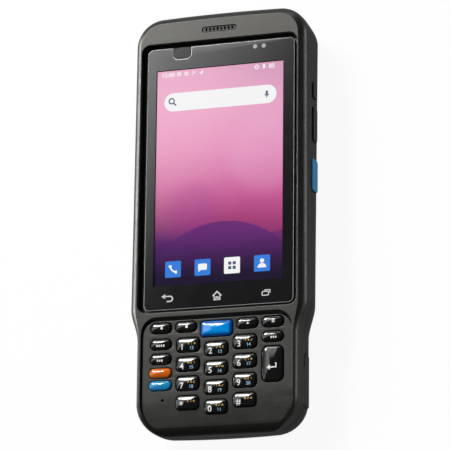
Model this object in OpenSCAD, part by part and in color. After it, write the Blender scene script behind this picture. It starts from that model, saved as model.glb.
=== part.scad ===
// Handheld barcode data terminal: touch display above a 23-key keypad, in two casing halves.
// Millimetres. The terminal lies on its back: +X right, +Y towards the earpiece, +Z out of the display.
// The origin is the middle of the footprint, on the surface that the back rests on.

/* [Glass and display] */
// Width of the touch glass
glass_w = 60.1; // [56:0.1:64]
// Height of the touch glass
glass_l = 104.9; // [98:0.1:112]
// Corner radius of the touch glass
glass_r = 2.2; // [1:0.2:4]
// Thickness of the touch glass
glass_t = 1.1; // [0.8:0.1:1.4]
// Depth of the glass below the rim round it
glass_recess = 2; // [1.6:0.1:2.4]
// Open channel round the glass
glass_channel = 1.2; // [0.8:0.1:1.4]
// Thickness of the gasket under the glass
gasket_t = 0.3; // [0.2:0.1:0.5]
// Border of the glass beside the display module
display_side = 2.55; // [2.2:0.05:3.2]
// Border of the glass beyond each end of the display module
display_end = 6.95; // [6.3:0.05:8]
// Thickness of the display module
display_t = 2.7; // [2.4:0.1:3.2]
// Width of the notch for the front camera window
camera_notch_w = 7.3; // [6.6:0.1:8]
// Depth of the notch for the front camera window
camera_notch_l = 4.7; // [4.3:0.1:5.2]
// Place of the notch, from the middle of the glass to the left
camera_notch_x = 15.9; // [12:0.1:19]

/* [Casing] */
// Front face above the glass, up to the top end of the casing
top_margin = 12.85; // [12:0.05:15]
// Flat lip beside the channel at the top of the head
side_lip = 0.85; // [0.5:0.05:1.4]
// How much wider each side of the head is at the waist
head_flare = 0.5; // [0:0.1:1.5]
// Width of the sloping shoulder beside the glass
head_shoulder_w = 2.9; // [2.2:0.1:3.6]
// Strip of the front between the glass and the keypad panel
panel_strip = 4.35; // [3.9:0.05:6]
// Rim of the front beside the keypad panel
panel_rim = 0.7; // [0.5:0.05:1.4]
// Width of the sloping shoulder beside the keypad
grip_shoulder_w = 2; // [1.4:0.1:2.6]
// Front face below the keypad panel
panel_end_gap = 2; // [1.6:0.1:3]
// Radius of the two top corners
top_corner_r = 11.2; // [9:0.2:13]
// Radius of the two bottom corners
bottom_corner_r = 13; // [10:0.2:14]
// Bow of each end at its middle
end_bow = 0.4; // [0:0.1:0.8]
// Distance from the keypad panel's top edge up to the upper end of the waist
waist_rise = 5.4; // [3:0.1:8]
// Length over which the head narrows to the grip
waist_l = 13; // [9:0.5:16]
// Height of the front casing
front_h = 7; // [6.5:0.1:7.6]
// Radius that rounds the front edge at the bottom end
foot_round_r = 7; // [5:0.5:7.5]
// Depth of the shadow groove along the seam
seam_groove = 0.25; // [0.1:0.05:0.4]
// Wall thickness of the rear casing
wall = 2.2; // [1.8:0.1:2.6]

/* [Back] */
// Width of the rounded edge of the back at the waist of the head
back_round_head = 9.5; // [6:0.5:10]
// Width of the rounded edge of the back at the grip
back_round_grip = 9; // [7:0.5:9]
// Height of the upright side wall below the seam, at the top end
flank_top_h = 8; // [5:0.5:9]
// The same height at the waist
flank_waist_h = 2; // [1.5:0.5:5]
// The same height at the grip
flank_grip_h = 2.7; // [1.5:0.1:5]
// How far the top end leans in towards the back
top_rake = 2.5; // [0:0.5:3]

/* [Keypad] */
// Width of a digit key
digit_w = 9.25; // [8.4:0.05:10]
// Height of a digit key
digit_l = 5.5; // [5:0.1:6]
// Corner radius of a digit key
digit_r = 1.7; // [1:0.1:2.3]
// Space between the digit columns
column_space = 2.1; // [1.8:0.05:3]
// Space between the digit rows
row_space = 1.92; // [1.6:0.02:2.6]
// How much lower the middle digit column lies
middle_drop = 2.05; // [1.6:0.05:2.2]
// Width of a pill-shaped key
pill_w = 8.5; // [8:0.1:9.2]
// Height of a pill-shaped key
pill_l = 4.1; // [3.8:0.1:4.5]
// Width of a coloured shift key
shift_w = 9; // [8.4:0.1:9.6]
// Height of a coloured shift key
shift_l = 3.8; // [3.4:0.1:4.1]
// Width of the scan key in the keypad
scan_w = 12.8; // [12:0.1:14]
// Height of the scan key in the keypad
scan_l = 6.2; // [5.6:0.1:6.8]
// Corner radius of the scan key
scan_r = 1.5; // [1:0.1:2.5]
// Width of the enter key
enter_w = 8.4; // [7.8:0.1:9.2]
// Height of the enter key
enter_l = 13.6; // [12.5:0.1:14.5]
// Corner radius of the enter key
enter_r = 2.2; // [1:0.1:3]
// Panel above the top row of keys
panel_head = 0.85; // [0.8:0.05:2]
// Panel below the lowest digit key
panel_foot = 5.87; // [5:0.01:8]
// Panel beside the widest outer key
panel_side = 3.25; // [2.9:0.05:5]
// Radius of the panel's top corners
panel_top_r = 6; // [4:0.5:8]
// Radius of the panel's bottom corners
panel_bottom_r = 11; // [9:0.5:12]
// Thickness of the keypad panel
panel_t = 1.8; // [1.5:0.1:2]
// Depth of the panel below the rim of the front
panel_recess = 1.2; // [0.9:0.1:1.4]
// Length of the slope from the rim down to the panel's top edge
panel_slope_l = 1.3; // [0.6:0.1:1.6]
// Gap between a key and its hole
key_gap = 0.2; // [0.15:0.01:0.24]
// Rim that holds a key behind its hole
key_flange = 0.4; // [0.34:0.02:0.42]
// Thickness of that rim
key_flange_t = 0.7; // [0.5:0.05:0.8]
// Travel of a keypad key
key_travel = 0.5; // [0.3:0.05:0.55]
// Crown of a key's top over its width
key_crown = 0.35; // [0.2:0.05:0.5]

/* [Side keys] */
// How far a side key stands out of the casing
side_proud = 0.5; // [0.3:0.05:0.8]
// Place of the side scan keys, below the middle of the glass
side_scan_drop = 1.3; // [0:0.1:4]
// Length of a side scan key
side_scan_l = 12.5; // [10:0.1:13.8]
// Height of a side scan key
side_scan_h = 6.8; // [5:0.1:7]
// Place of the volume key, above the middle of the glass
volume_rise = 19.2; // [18:0.1:21]
// Length of the volume key
volume_l = 13.5; // [11:0.1:14.9]
// Place of the power key, above the middle of the glass
power_rise = 32.8; // [31.5:0.1:36]
// Length of the power key
power_l = 6.3; // [5:0.1:7]
// Height of the volume and power keys
side_key_h = 4.8; // [4:0.1:5.4]
// Travel of a side key
side_travel = 0.4; // [0.2:0.05:0.5]

/* [Connector cover] */
// Distance from the bottom end of the casing to the cover's hinge
io_end = 11.3; // [10.5:0.1:13]
// Length of the connector cover
io_cover_l = 18.8; // [17:0.1:21]
// Height of the connector cover
io_cover_h = 6.1; // [5.6:0.1:6.8]
// Thickness of the connector cover
io_cover_t = 2; // [1.8:0.1:2.4]
// Radius of the cover's hinge pin
io_pin_r = 0.45; // [0.4:0.05:0.55]
// Running clearance of that pin
pin_clearance = 0.05; // [0.03:0.01:0.08]

/* [Battery] */
// Distance from the battery pack to each side of the grip
battery_side = 12.1; // [11.9:0.1:14]
// Length of the battery pack
battery_l = 67; // [60:0.5:70]
// Thickness of the battery pack
battery_t = 10; // [8:0.1:11]
// Distance from the bottom end of the casing to the battery cover
cover_end = 10.3; // [10.1:0.1:12]
// Thickness of the battery cover
cover_t = 2; // [1.6:0.1:2.2]
// How far the cover laps over the casing at each side of the battery
cover_lap = 2.2; // [1.6:0.1:2.3]
// Gap round the battery cover
cover_gap = 0.25; // [0.15:0.05:0.35]
// Travel of the battery latch
latch_travel = 2.2; // [1.6:0.1:2.4]

/* [Inner parts] */
// Thickness of the circuit boards
board_t = 1.2; // [0.8:0.1:1.6]
// Thickness of the inner frame
frame_t = 1.2; // [0.8:0.1:1.6]
// Height of the standoffs between the frame and the main board
standoff_h = 1.2; // [1:0.1:2]
// Room for the parts on the main board's underside
board_gap = 0.8; // [0.6:0.1:2]
// Thickness of the floor over the battery
bay_floor_t = 1.4; // [1:0.1:2]
// Thickness of the keypad mat
mat_t = 0.8; // [0.6:0.1:1]
// Width of the scan window
window_w = 27; // [24:0.5:30]
// Height of the scan window
window_h = 7.4; // [6.4:0.1:8]
// Width of the scan engine
engine_w = 22; // [18:0.5:24]
// Length of the scan engine
engine_l = 12; // [9:0.5:13]
// Height of the scan engine
engine_h = 7.8; // [6:0.1:8.4]
// Width of the loudspeaker
speaker_w = 15; // [12:0.5:17]
// Length of the loudspeaker
speaker_l = 11; // [8:0.5:12]
// Height of the loudspeaker
speaker_h = 3.5; // [2.5:0.1:4.5]
// Width of the earpiece receiver
receiver_w = 12; // [10.5:0.5:14]
// Length of the earpiece receiver
receiver_l = 5.5; // [4:0.1:5.8]
// Radius of the vibration motor
motor_r = 5; // [4:0.5:5.5]
// Width of the USB connector
usb_w = 9; // [8:0.1:9.8]
// Depth of the USB connector
usb_depth = 6.2; // [5:0.1:7]

/* [Fits] */
// Assembly gap round fixed inner pieces
fit_gap = 0.2; // [0.1:0.05:0.25]
// Radius of a case screw's shank
screw_r = 1.1; // [0.9:0.05:1.2]
// Radius of a case screw's head
screw_head_r = 2.1; // [1.8:0.05:2.3]

/* [Hidden] */
$fn = 48;

// Colours
CASE_GREY = [0.22, 0.22, 0.21];
CASE_BLACK = [0.12, 0.12, 0.12];
KEY_BLACK = [0.04, 0.04, 0.05];
SCAN_BLUE = [0.05, 0.5, 0.9];
SHIFT_ORANGE = [0.92, 0.43, 0.1];
SHIFT_BLUE = [0.15, 0.56, 0.85];
BOARD_GREEN = [0.05, 0.3, 0.16];

// Keypad layout, downwards from the panel's top edge
digit_col = digit_w + column_space;
digit_row = digit_l + row_space;
outer_key_w = max(pill_w, shift_w, enter_w);
outer_col_x = digit_col + digit_w / 2 + column_space + pill_w / 2;
panel_w = 2 * (outer_col_x + outer_key_w / 2 + panel_side);
scan_drop = 0.3;
middle_first = panel_head + scan_drop + scan_l + row_space + digit_l / 2;
panel_l = middle_first + 3 * digit_row + digit_l / 2 + panel_foot;

// Casing size and the places that follow from it
body_l = top_margin + glass_l + panel_strip + panel_l + panel_end_gap;
half_l = body_l / 2;
head_top_half = glass_w / 2 + glass_channel + side_lip + head_shoulder_w;
head_low_half = head_top_half + head_flare;
grip_half = panel_w / 2 + panel_rim + grip_shoulder_w;
glass_top_y = half_l - top_margin;
screen_y = glass_top_y - glass_l / 2;
panel_top_y = screen_y - glass_l / 2 - panel_strip;
panel_end_y = panel_top_y - panel_l;
waist_y = panel_top_y + waist_rise;
display_w = glass_w - 2 * display_side;
display_l = glass_l - 2 * display_end;

// Heights, from the back up to the rim and from the rim down
bay_top_z = cover_t + battery_t + 2 * fit_gap;
bay_roof_z = bay_top_z + bay_floor_t;
main_board_z = bay_roof_z + board_gap;
frame_z = main_board_z + board_t + standoff_h;
display_z = frame_z + frame_t;
glass_z = display_z + display_t;
body_t = glass_z + glass_t + glass_recess;
seam_z = body_t - front_h;
glass_seat_z = glass_z - gasket_t;
panel_z = body_t - panel_recess;
panel_seat_z = panel_z - panel_t;
front_web_t = 1.6;
ceiling_z = glass_seat_z - front_web_t;
keypad_board_z = ceiling_z - mat_t - board_t;
inner_back_z = cover_t + 0.4;
deep = 2 * body_l;
eps = 0.01;

// ---------- Casing outline: one side from the bottom middle to the top middle, then its mirror ----------
corner_steps = 8;
waist_steps = 6;
bow_steps = 2;
grip_flat = grip_half - bottom_corner_r;
head_flat = head_top_half - top_corner_r;
waist_end_y = waist_y - waist_l;
head_side_top = half_l - end_bow - top_corner_r;
grip_side_low = end_bow + bottom_corner_r - half_l;

function clamp(t) = min(1, max(0, t));
function ease(t) = let (c = clamp(t)) c * c * (3 - 2 * c);
function mix(a, b, t) = a + (b - a) * t;
function head_share(y) = ease((y - waist_end_y) / waist_l);
function head_run(y) = clamp((y - waist_y) / (head_side_top - waist_y));
function half_w(y) = mix(grip_half, mix(head_low_half, head_top_half, head_run(y)), head_share(y));

side_points = concat(
    [for (i = [0 : bow_steps]) let (t = i / bow_steps)
        [grip_flat * t, end_bow * t * t - half_l]],
    [for (i = [1 : corner_steps]) let (a = 90 * i / corner_steps - 90)
        [grip_flat + bottom_corner_r * cos(a), grip_side_low + bottom_corner_r * sin(a)]],
    [for (i = [0 : waist_steps]) let (y = mix(waist_end_y, waist_y, i / waist_steps)) [half_w(y), y]],
    [for (i = [0 : corner_steps]) let (a = 90 * i / corner_steps)
        [head_flat + top_corner_r * cos(a), head_side_top + top_corner_r * sin(a)]],
    [for (i = [bow_steps - 1 : -1 : 0]) let (t = i / bow_steps)
        [head_flat * t, half_l - end_bow * t * t]]);
side_n = len(side_points);
outline = concat(side_points, [for (i = [side_n - 2 : -1 : 1]) [-side_points[i][0], side_points[i][1]]]);
outline_n = len(outline);

function unit(v) = v / norm(v);
function outward(i) =
    let (d = unit(outline[(i + 1) % outline_n] - outline[(i + outline_n - 1) % outline_n])) [d[1], -d[0]];
normals = [for (i = [0 : outline_n - 1]) outward(i)];

// The outline moved in by the same distance everywhere, as a flat shape
module inner_outline(inset)
    polygon([for (i = [0 : outline_n - 1]) outline[i] - normals[i] * inset]);

// A closed skin over rings of points that run round the outline, lowest ring first
module skin(rings) {
    n = len(rings[0]);
    last = len(rings) - 1;
    points = [for (ring = rings) each ring];
    sides = [for (k = [0 : last - 1], i = [0 : n - 1])
        let (a = k * n + i, b = k * n + (i + 1) % n)
        each [[a, b + n, b], [a, a + n, b + n]]];
    ends = [[for (i = [0 : n - 1]) i], [for (i = [n - 1 : -1 : 0]) last * n + i]];
    polyhedron(points, concat(sides, ends));
}

// Front shoulder, from the seam up: share of its height and of its width at the head, then at the grip
SHOULDER = [[0.57, 0.03, 0.43, 0.05], [0.74, 0.26, 0.71, 0.28], [0.86, 0.52, 0.89, 0.6], [1, 1, 1, 1]];
groove_h = 0.35;

function front_ring(step) = [for (i = [0 : outline_n - 1])
    let (p = outline[i], s = head_share(p[1]),
        z = front_h * mix(step[2], step[0], s),
        inset = mix(grip_shoulder_w * step[3], head_shoulder_w * step[1], s),
        q = p - normals[i] * inset)
    [q[0], q[1], seam_z + z]];
function seam_ring(z, inset) = [for (i = [0 : outline_n - 1])
    let (q = outline[i] - normals[i] * inset) [q[0], q[1], z]];

module front_shell()
    skin(concat([seam_ring(seam_z, seam_groove), seam_ring(seam_z + groove_h, 0)],
        [for (step = SHOULDER) front_ring(step)]));

// Back: an upright wall below the seam, then an elliptical edge down to the flat back
back_steps = 6;
corner_left = 0.5;
top_round = min(back_round_head, top_corner_r - top_rake - corner_left);
grip_round = min(back_round_grip, bottom_corner_r - 1);
function back_round(y) = mix(grip_round, mix(back_round_head, top_round, head_run(y)), head_share(y));
function flank_z(y) =
    seam_z - mix(flank_grip_h, mix(flank_waist_h, flank_top_h, head_run(y)), head_share(y));
function back_ring(a) = [for (i = [0 : outline_n - 1])
    let (p = outline[i], z = flank_z(p[1]) * (1 - sin(a)),
        lean = top_rake * max(0, normals[i][1]) * (seam_z - z) / seam_z,
        q = p - normals[i] * (back_round(p[1]) * (1 - cos(a)) + lean))
    [q[0], q[1], z]];

module rear_shell()
    skin(concat([for (k = [back_steps : -1 : 0]) back_ring(90 * k / back_steps)],
        [seam_ring(seam_z - groove_h, 0), seam_ring(seam_z, seam_groove)]));

// ---------- Shared shapes ----------
module round_rect(w, l, r) {
    square([w - 2 * r, l], center = true);
    square([w, l - 2 * r], center = true);
    for (x = [-1, 1], y = [-1, 1]) translate([x * (w / 2 - r), y * (l / 2 - r)]) circle(r);
}
module plate(w, l, h, r) linear_extrude(h) round_rect(w, l, r);
module box(x0, x1, y0, y1, z0, z1) translate([x0, y0, z0]) cube([x1 - x0, y1 - y0, z1 - z0]);

// ---------- Connector cover in the right side of the grip: its place ----------
io_gap = 0.2;
io_seam_gap = 0.7;
io_hinge_y = io_end - half_l;
io_top_y = io_hinge_y + io_cover_l;
io_z = seam_z - io_seam_gap - io_cover_h / 2;
io_low_z = io_z - io_cover_h / 2;
io_axis_x = grip_half - io_cover_t / 2;

// ---------- Case screws and the posts that carry the frame and the boards ----------
boss_r = 3;
post_r = 1.4;
screw_head_z = 4.4;
screw_head_t = 1.8;
screw_cover_t = 0.6;
screw_top_z = glass_seat_z - screw_cover_t;
screw_inset = 5.4;
head_screw_x = display_w / 2 + 2.5;
head_screw_y = glass_top_y - 4.6;
waist_screw_y = waist_y + 5.2;
grip_screw_y = io_hinge_y + 1.7;
screw_places = [for (x = [-1, 1]) each [[x * head_screw_x, head_screw_y], [x * head_screw_x, waist_screw_y],
    [x * (grip_half - screw_inset), grip_screw_y]]];
module at_screws() for (p = screw_places) translate(p) children();

module case_screws() color("silver") at_screws() difference() {
    union() {
        translate([0, 0, screw_head_z]) cylinder(r = screw_head_r, h = screw_head_t);
        translate([0, 0, screw_head_z]) cylinder(r = screw_r, h = screw_top_z - screw_head_z);
    }
    translate([0, 0, screw_head_z - eps]) cylinder(r = screw_head_r * 0.43, h = screw_head_t * 0.55, $fn = 6);
}

// ---------- Keypad: places of the keys ----------
pill_r = pill_l / 2 - 0.05;
shift_r = shift_l / 2 - 0.05;
pill_space = 1.65;
shift_space = 1.5;
soft_y = panel_top_y - panel_head - pill_l / 2;
scan_y = panel_top_y - panel_head - scan_drop - scan_l / 2;
soft_in_x = (scan_w / 2 + outer_col_x - pill_w / 2) / 2;
upper_pill_y = soft_y - pill_l - pill_space - 0.55;
lower_pill_y = upper_pill_y - pill_l - pill_space;
orange_y = lower_pill_y - (pill_l + shift_l) / 2 - shift_space;
blue_y = orange_y - shift_l - 2 * key_flange - key_gap;
clear_y = soft_y - pill_l - pill_space;
enter_y = clear_y - pill_l / 2 - pill_space - enter_l / 2;
digit_low_y = panel_end_y + panel_foot;

function digit_place(column, row) = [(column - 1) * digit_col,
    panel_top_y - middle_first - row * digit_row + (column == 1 ? 0 : middle_drop)];
digit_size = [digit_w, digit_l, digit_r];
pill_size = [pill_w, pill_l, pill_r];
shift_size = [shift_w, shift_l, shift_r];
scan_size = [scan_w, scan_l, scan_r];
enter_size = [enter_w, enter_l, enter_r];

// Every key as its place and its size
KEYS = concat(
    [for (row = [0 : 3], column = [0 : 2]) [digit_place(column, row), digit_size]],
    [for (x = [-outer_col_x, -soft_in_x, soft_in_x, outer_col_x]) [[x, soft_y], pill_size]],
    [for (y = [upper_pill_y, lower_pill_y]) [[-outer_col_x, y], pill_size]],
    [for (y = [orange_y, blue_y]) [[-outer_col_x, y], shift_size]],
    [[[0, scan_y], scan_size], [[outer_col_x, clear_y], pill_size], [[outer_col_x, enter_y], enter_size]]);

// Opening for the keys behind the panel, grown by a lap: wide above, narrow beside the lowest digits
key_room = key_flange + key_gap;
key_well_half = outer_col_x + outer_key_w / 2 + key_room + 0.35;
key_well_top_y = panel_top_y - panel_head + key_flange + 0.2;
key_well_step_y = min(blue_y - shift_l / 2, enter_y - enter_l / 2) - key_room;
key_well_end_y = digit_low_y - key_room - 0.9;
key_well_low_half = digit_col + digit_w / 2 + key_room + 0.4;
mat_lap = 0.9;
module key_well(lap) {
    wide = key_well_half + lap;
    low = key_well_low_half + lap;
    polygon([[-low, key_well_end_y - lap], [low, key_well_end_y - lap], [low, key_well_step_y - lap],
        [wide, key_well_step_y - lap], [wide, key_well_top_y + lap / 2],
        [-wide, key_well_top_y + lap / 2], [-wide, key_well_step_y - lap], [-low, key_well_step_y - lap]]);
}

// ---------- Front casing ----------
seal_in = 0.8;
seal_w = 0.8;
seal_t = 0.8;
seal_fit = 0.1;
front_inset = seal_in + seal_w + 1.7;
receiver_t = 2.6;
ear_y = (glass_top_y + glass_channel + half_l - head_shoulder_w) / 2;
ear_w = receiver_w + 2;
ear_l = 2;
ear_depth = 1.4;
ear_web = 1.4;
receiver_z = body_t - ear_depth - ear_web - receiver_t;
mic_r = 0.5;
mic_x = -outer_col_x + 0.9;
mic_y = blue_y - 5.6;
camera_x = -camera_notch_x;
camera_y = glass_top_y - camera_notch_l / 2 + 0.1;
camera_barrel_r = 2.1;
camera_body_w = 7;
camera_body_t = 2.2;
sensor_x = 15.8;
sensor_y = glass_top_y - 2.5;
sensor_hole_r = 0.8;
sensor_pitch = 3.5;

// Outline of the keypad panel, grown by a gap
module panel_outline(grow) {
    w = panel_w / 2 + grow;
    top_r = panel_top_r + grow;
    low_r = panel_bottom_r + grow;
    top_y = panel_top_y + grow;
    low_y = panel_end_y - grow;
    translate([0, (top_y + low_y) / 2])
        square([2 * (w - low_r), top_y - low_y], center = true);
    translate([0, (top_y - top_r + low_y + low_r) / 2])
        square([2 * w, top_y - top_r - low_y - low_r], center = true);
    translate([0, top_y - top_r]) square([2 * (w - top_r), 2 * top_r], center = true);
    for (x = [-1, 1]) {
        translate([x * (w - top_r), top_y - top_r]) circle(top_r);
        translate([x * (w - low_r), low_y + low_r]) circle(low_r);
    }
}

// Slope from the rim of the front down to the top edge of the keypad panel
module slope_outline(rise)
    translate([0, panel_top_y - panel_top_r]) {
        translate([0, -panel_top_r]) square([panel_w, 2 * panel_top_r], center = true);
        for (x = [-1, 1]) translate([x * (panel_w / 2 - panel_top_r), rise]) circle(panel_top_r, $fn = 32);
    }
module panel_slope() hull() {
    translate([0, 0, panel_z]) linear_extrude(eps) slope_outline(0);
    translate([0, 0, body_t]) linear_extrude(eps) slope_outline(panel_slope_l);
}

// What is cut away to round the front edge at the bottom end
module foot_cut() difference() {
    box(-deep, deep, -half_l - 1, foot_round_r - half_l, body_t - foot_round_r, body_t + 1);
    translate([-deep, foot_round_r - half_l, body_t - foot_round_r])
        rotate([0, 90, 0]) cylinder(r = foot_round_r, h = 2 * deep, $fn = 96);
}

module at_sensor() for (x = [-1, 1]) translate([sensor_x + x * sensor_pitch / 2, sensor_y]) children();
module display_outline() translate([0, screen_y])
    round_rect(display_w + 2 * fit_gap, display_l + 2 * fit_gap, 1);

module seal_ring(gap) difference() {
    inner_outline(seal_in + gap);
    inner_outline(seal_in + seal_w - gap);
}
module case_seal() color("dimgray") translate([0, 0, seam_z]) linear_extrude(seal_t)
    seal_ring(seal_fit);

module front_case() color(CASE_GREY) difference() {
    front_shell();
    foot_cut();
    // glass pocket, display window and the space below them
    translate([0, screen_y, glass_seat_z]) plate(glass_w + 2 * glass_channel, glass_l + 2 * glass_channel,
        deep, glass_r + glass_channel);
    linear_extrude(deep) display_outline();
    translate([0, 0, seam_z - eps]) linear_extrude(ceiling_z - seam_z + eps) difference() {
        inner_outline(front_inset);
        at_screws() circle(boss_r);
    }
    // keypad panel seat, its slope and the well for the keys
    translate([0, 0, panel_seat_z]) linear_extrude(deep) panel_outline(fit_gap / 2);
    panel_slope();
    linear_extrude(deep) key_well(0);
    // groove for the seal
    translate([0, 0, seam_z - eps]) linear_extrude(seal_t + eps) seal_ring(0);
    // earpiece: seat of the grille, sound channel and seat of the receiver
    translate([0, ear_y, body_t - ear_depth]) plate(ear_w, ear_l, deep, ear_l / 2 - eps);
    translate([0, ear_y, receiver_z]) plate(receiver_w - 2, ear_l / 2, deep - body_t, ear_l / 5);
    translate([0, ear_y, 0]) plate(receiver_w + 2 * fit_gap, receiver_l + 2 * fit_gap,
        receiver_z + receiver_t, 1);
    // front camera, two sensor channels, microphone, screw holes
    translate([camera_x, camera_y, 0]) cylinder(r = camera_barrel_r + fit_gap, h = deep);
    linear_extrude(deep) at_sensor() circle(sensor_hole_r);
    translate([mic_x, mic_y, 0]) cylinder(r = mic_r, h = deep);
    at_screws() translate([0, 0, seam_z - 1]) cylinder(r = screw_r, h = screw_top_z - seam_z + 1);
}

// ---------- Glass, display and what looks out through the glass ----------
notch_chamfer = 1.3;
gasket_inset = 0.3;
window_recess = 0.3;
module camera_notch_outline(grow) {
    w = camera_notch_w / 2 + grow;
    top_y = glass_top_y + 1;
    low_y = glass_top_y - camera_notch_l - grow;
    translate([camera_x, 0]) polygon([[-w, top_y], [-w, low_y + notch_chamfer], [notch_chamfer - w, low_y],
        [w - notch_chamfer, low_y], [w, low_y + notch_chamfer], [w, top_y]]);
}
module glass_outline(inset) difference() {
    translate([0, screen_y]) round_rect(glass_w - 2 * inset, glass_l - 2 * inset, glass_r - inset / 2);
    camera_notch_outline(inset);
}
module touch_glass() color([0.03, 0.03, 0.04]) translate([0, 0, glass_z])
    linear_extrude(glass_t) glass_outline(0);
module display_gasket() color("black") translate([0, 0, glass_seat_z]) linear_extrude(gasket_t) difference() {
    glass_outline(gasket_inset);
    display_outline();
    at_sensor() circle(sensor_hole_r);
}
module display_module() color([0.75, 0.35, 0.6]) translate([0, screen_y, display_z])
    plate(display_w, display_l, display_t, 0.8);

module front_camera_window() color([0.1, 0.1, 0.11]) translate([0, 0, glass_seat_z])
    linear_extrude(glass_t + gasket_t - window_recess) intersection() {
        camera_notch_outline(-fit_gap / 2);
        translate([0, screen_y]) square([glass_w, glass_l], center = true);
    }
module front_camera() color("dimgray") translate([camera_x, camera_y, 0]) {
    translate([0, 0, ceiling_z - camera_body_t]) plate(camera_body_w, camera_body_w, camera_body_t, 0.6);
    difference() {
        translate([0, 0, ceiling_z - eps]) cylinder(r = camera_barrel_r, h = front_web_t + eps);
        translate([0, 0, glass_seat_z - 0.8]) cylinder(r1 = 0.7, r2 = 1.6, h = 0.8 + eps);
    }
}
module proximity_sensor() color("dimgray") {
    translate([sensor_x, sensor_y, ceiling_z - 1.4]) plate(sensor_pitch + 2.5, 3.2, 1.4, 0.4);
    translate([0, 0, ceiling_z - eps]) linear_extrude(0.8) at_sensor() circle(sensor_hole_r - fit_gap);
}

// ---------- Earpiece ----------
slot_count = 8;
slot_w = 0.8;
module earpiece_grille() color("dimgray") translate([0, ear_y, body_t - ear_depth]) difference() {
    plate(ear_w - fit_gap, ear_l - fit_gap, ear_depth - 0.3, (ear_l - fit_gap) / 2 - eps);
    for (i = [0 : slot_count - 1])
        translate([(i - (slot_count - 1) / 2) * (ear_w - 2 * slot_w) / slot_count, 0, -1])
            linear_extrude(ear_depth + 1) round_rect(slot_w, ear_l * 0.55, slot_w / 2 - eps);
}
module earpiece_receiver() color("gray") translate([0, ear_y, receiver_z]) difference() {
    plate(receiver_w, receiver_l, receiver_t, 0.8);
    translate([0, 0, receiver_t - 0.4]) plate(receiver_w - 4, 1, 1, 0.4);
}

// ---------- Keypad: panel, keys, mat and board ----------
key_low_z = panel_seat_z - 0.1 - key_flange_t;
plunger_r = 1.4;
plunger_h = 0.2;
dome_gap = key_travel + 0.2;

// A key cap crowned both ways, its rim behind the panel and its plunger
module key(place, size) translate(place) {
    w = size[0];
    l = size[1];
    crown_x = w * w / (8 * key_crown) + key_crown / 2;
    crown_y = l * l / (8 * key_crown) + key_crown / 2;
    rim = key_flange;
    intersection() {
        translate([0, 0, key_low_z]) plate(w, l, body_t - key_low_z, size[2]);
        translate([0, -l, body_t - crown_x]) rotate([-90, 0, 0]) cylinder(r = crown_x, h = 2 * l, $fn = 96);
        translate([-w, 0, body_t - crown_y]) rotate([0, 90, 0]) cylinder(r = crown_y, h = 2 * w, $fn = 96);
    }
    translate([0, 0, key_low_z]) plate(w + 2 * rim, l + 2 * rim, key_flange_t, size[2] + rim);
    translate([0, 0, key_low_z - plunger_h]) cylinder(r = plunger_r, h = plunger_h + eps);
}

module keypad_panel() color(CASE_GREY) difference() {
    translate([0, 0, panel_seat_z]) linear_extrude(panel_t) panel_outline(-fit_gap / 2);
    foot_cut();
    for (k = KEYS) translate([k[0][0], k[0][1], 0])
        plate(k[1][0] + 2 * key_gap, k[1][1] + 2 * key_gap, deep, k[1][2] + key_gap);
    translate([mic_x, mic_y, 0]) cylinder(r = mic_r, h = deep);
}
module keypad_sheet(z, t) translate([0, 0, z]) linear_extrude(t) difference() {
    key_well(mat_lap);
    at_screws() circle(boss_r + fit_gap);
}
module keypad_mat() color("gray") {
    keypad_sheet(ceiling_z - mat_t, mat_t);
    for (k = KEYS) translate([k[0][0], k[0][1], ceiling_z - eps])
        cylinder(r = plunger_r + 0.1, h = key_low_z - plunger_h - dome_gap - ceiling_z + eps);
}
module keypad_board() color(BOARD_GREEN) {
    top_z = keypad_board_z + board_t;
    mic_room = 2.2;
    keypad_sheet(keypad_board_z, board_t);
    // connector below, and the microphone on a tongue at the left
    box(-8, 8, key_well_end_y + 6, key_well_end_y + 10, keypad_board_z - 1, keypad_board_z + eps);
    box(mic_x - mic_room, -key_well_low_half, mic_y - mic_room, key_well_step_y - mat_lap + eps,
        keypad_board_z, top_z);
    box(mic_x - 3 * mic_r, mic_x + 3 * mic_r, mic_y - 2 * mic_r, mic_y + 2 * mic_r, top_z - eps, ceiling_z);
}

module key_soft_left() color(KEY_BLACK) key([-outer_col_x, soft_y], pill_size);
module key_soft_mid_left() color(KEY_BLACK) key([-soft_in_x, soft_y], pill_size);
module key_soft_mid_right() color(KEY_BLACK) key([soft_in_x, soft_y], pill_size);
module key_soft_right() color(KEY_BLACK) key([outer_col_x, soft_y], pill_size);
module key_scan() color(SCAN_BLUE) key([0, scan_y], scan_size);
module key_function_upper() color(KEY_BLACK) key([-outer_col_x, upper_pill_y], pill_size);
module key_function_lower() color(KEY_BLACK) key([-outer_col_x, lower_pill_y], pill_size);
module key_shift_orange() color(SHIFT_ORANGE) key([-outer_col_x, orange_y], shift_size);
module key_shift_blue() color(SHIFT_BLUE) key([-outer_col_x, blue_y], shift_size);
module key_clear() color(KEY_BLACK) key([outer_col_x, clear_y], pill_size);
module key_enter() color(KEY_BLACK) key([outer_col_x, enter_y], enter_size);
module digit_key(column, row) color(KEY_BLACK) key(digit_place(column, row), digit_size);
module key_1() digit_key(0, 0);
module key_2() digit_key(1, 0);
module key_3() digit_key(2, 0);
module key_4() digit_key(0, 1);
module key_5() digit_key(1, 1);
module key_6() digit_key(2, 1);
module key_7() digit_key(0, 2);
module key_8() digit_key(1, 2);
module key_9() digit_key(2, 2);
module key_star() digit_key(0, 3);
module key_0() digit_key(1, 3);
module key_hash() digit_key(2, 3);

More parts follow.
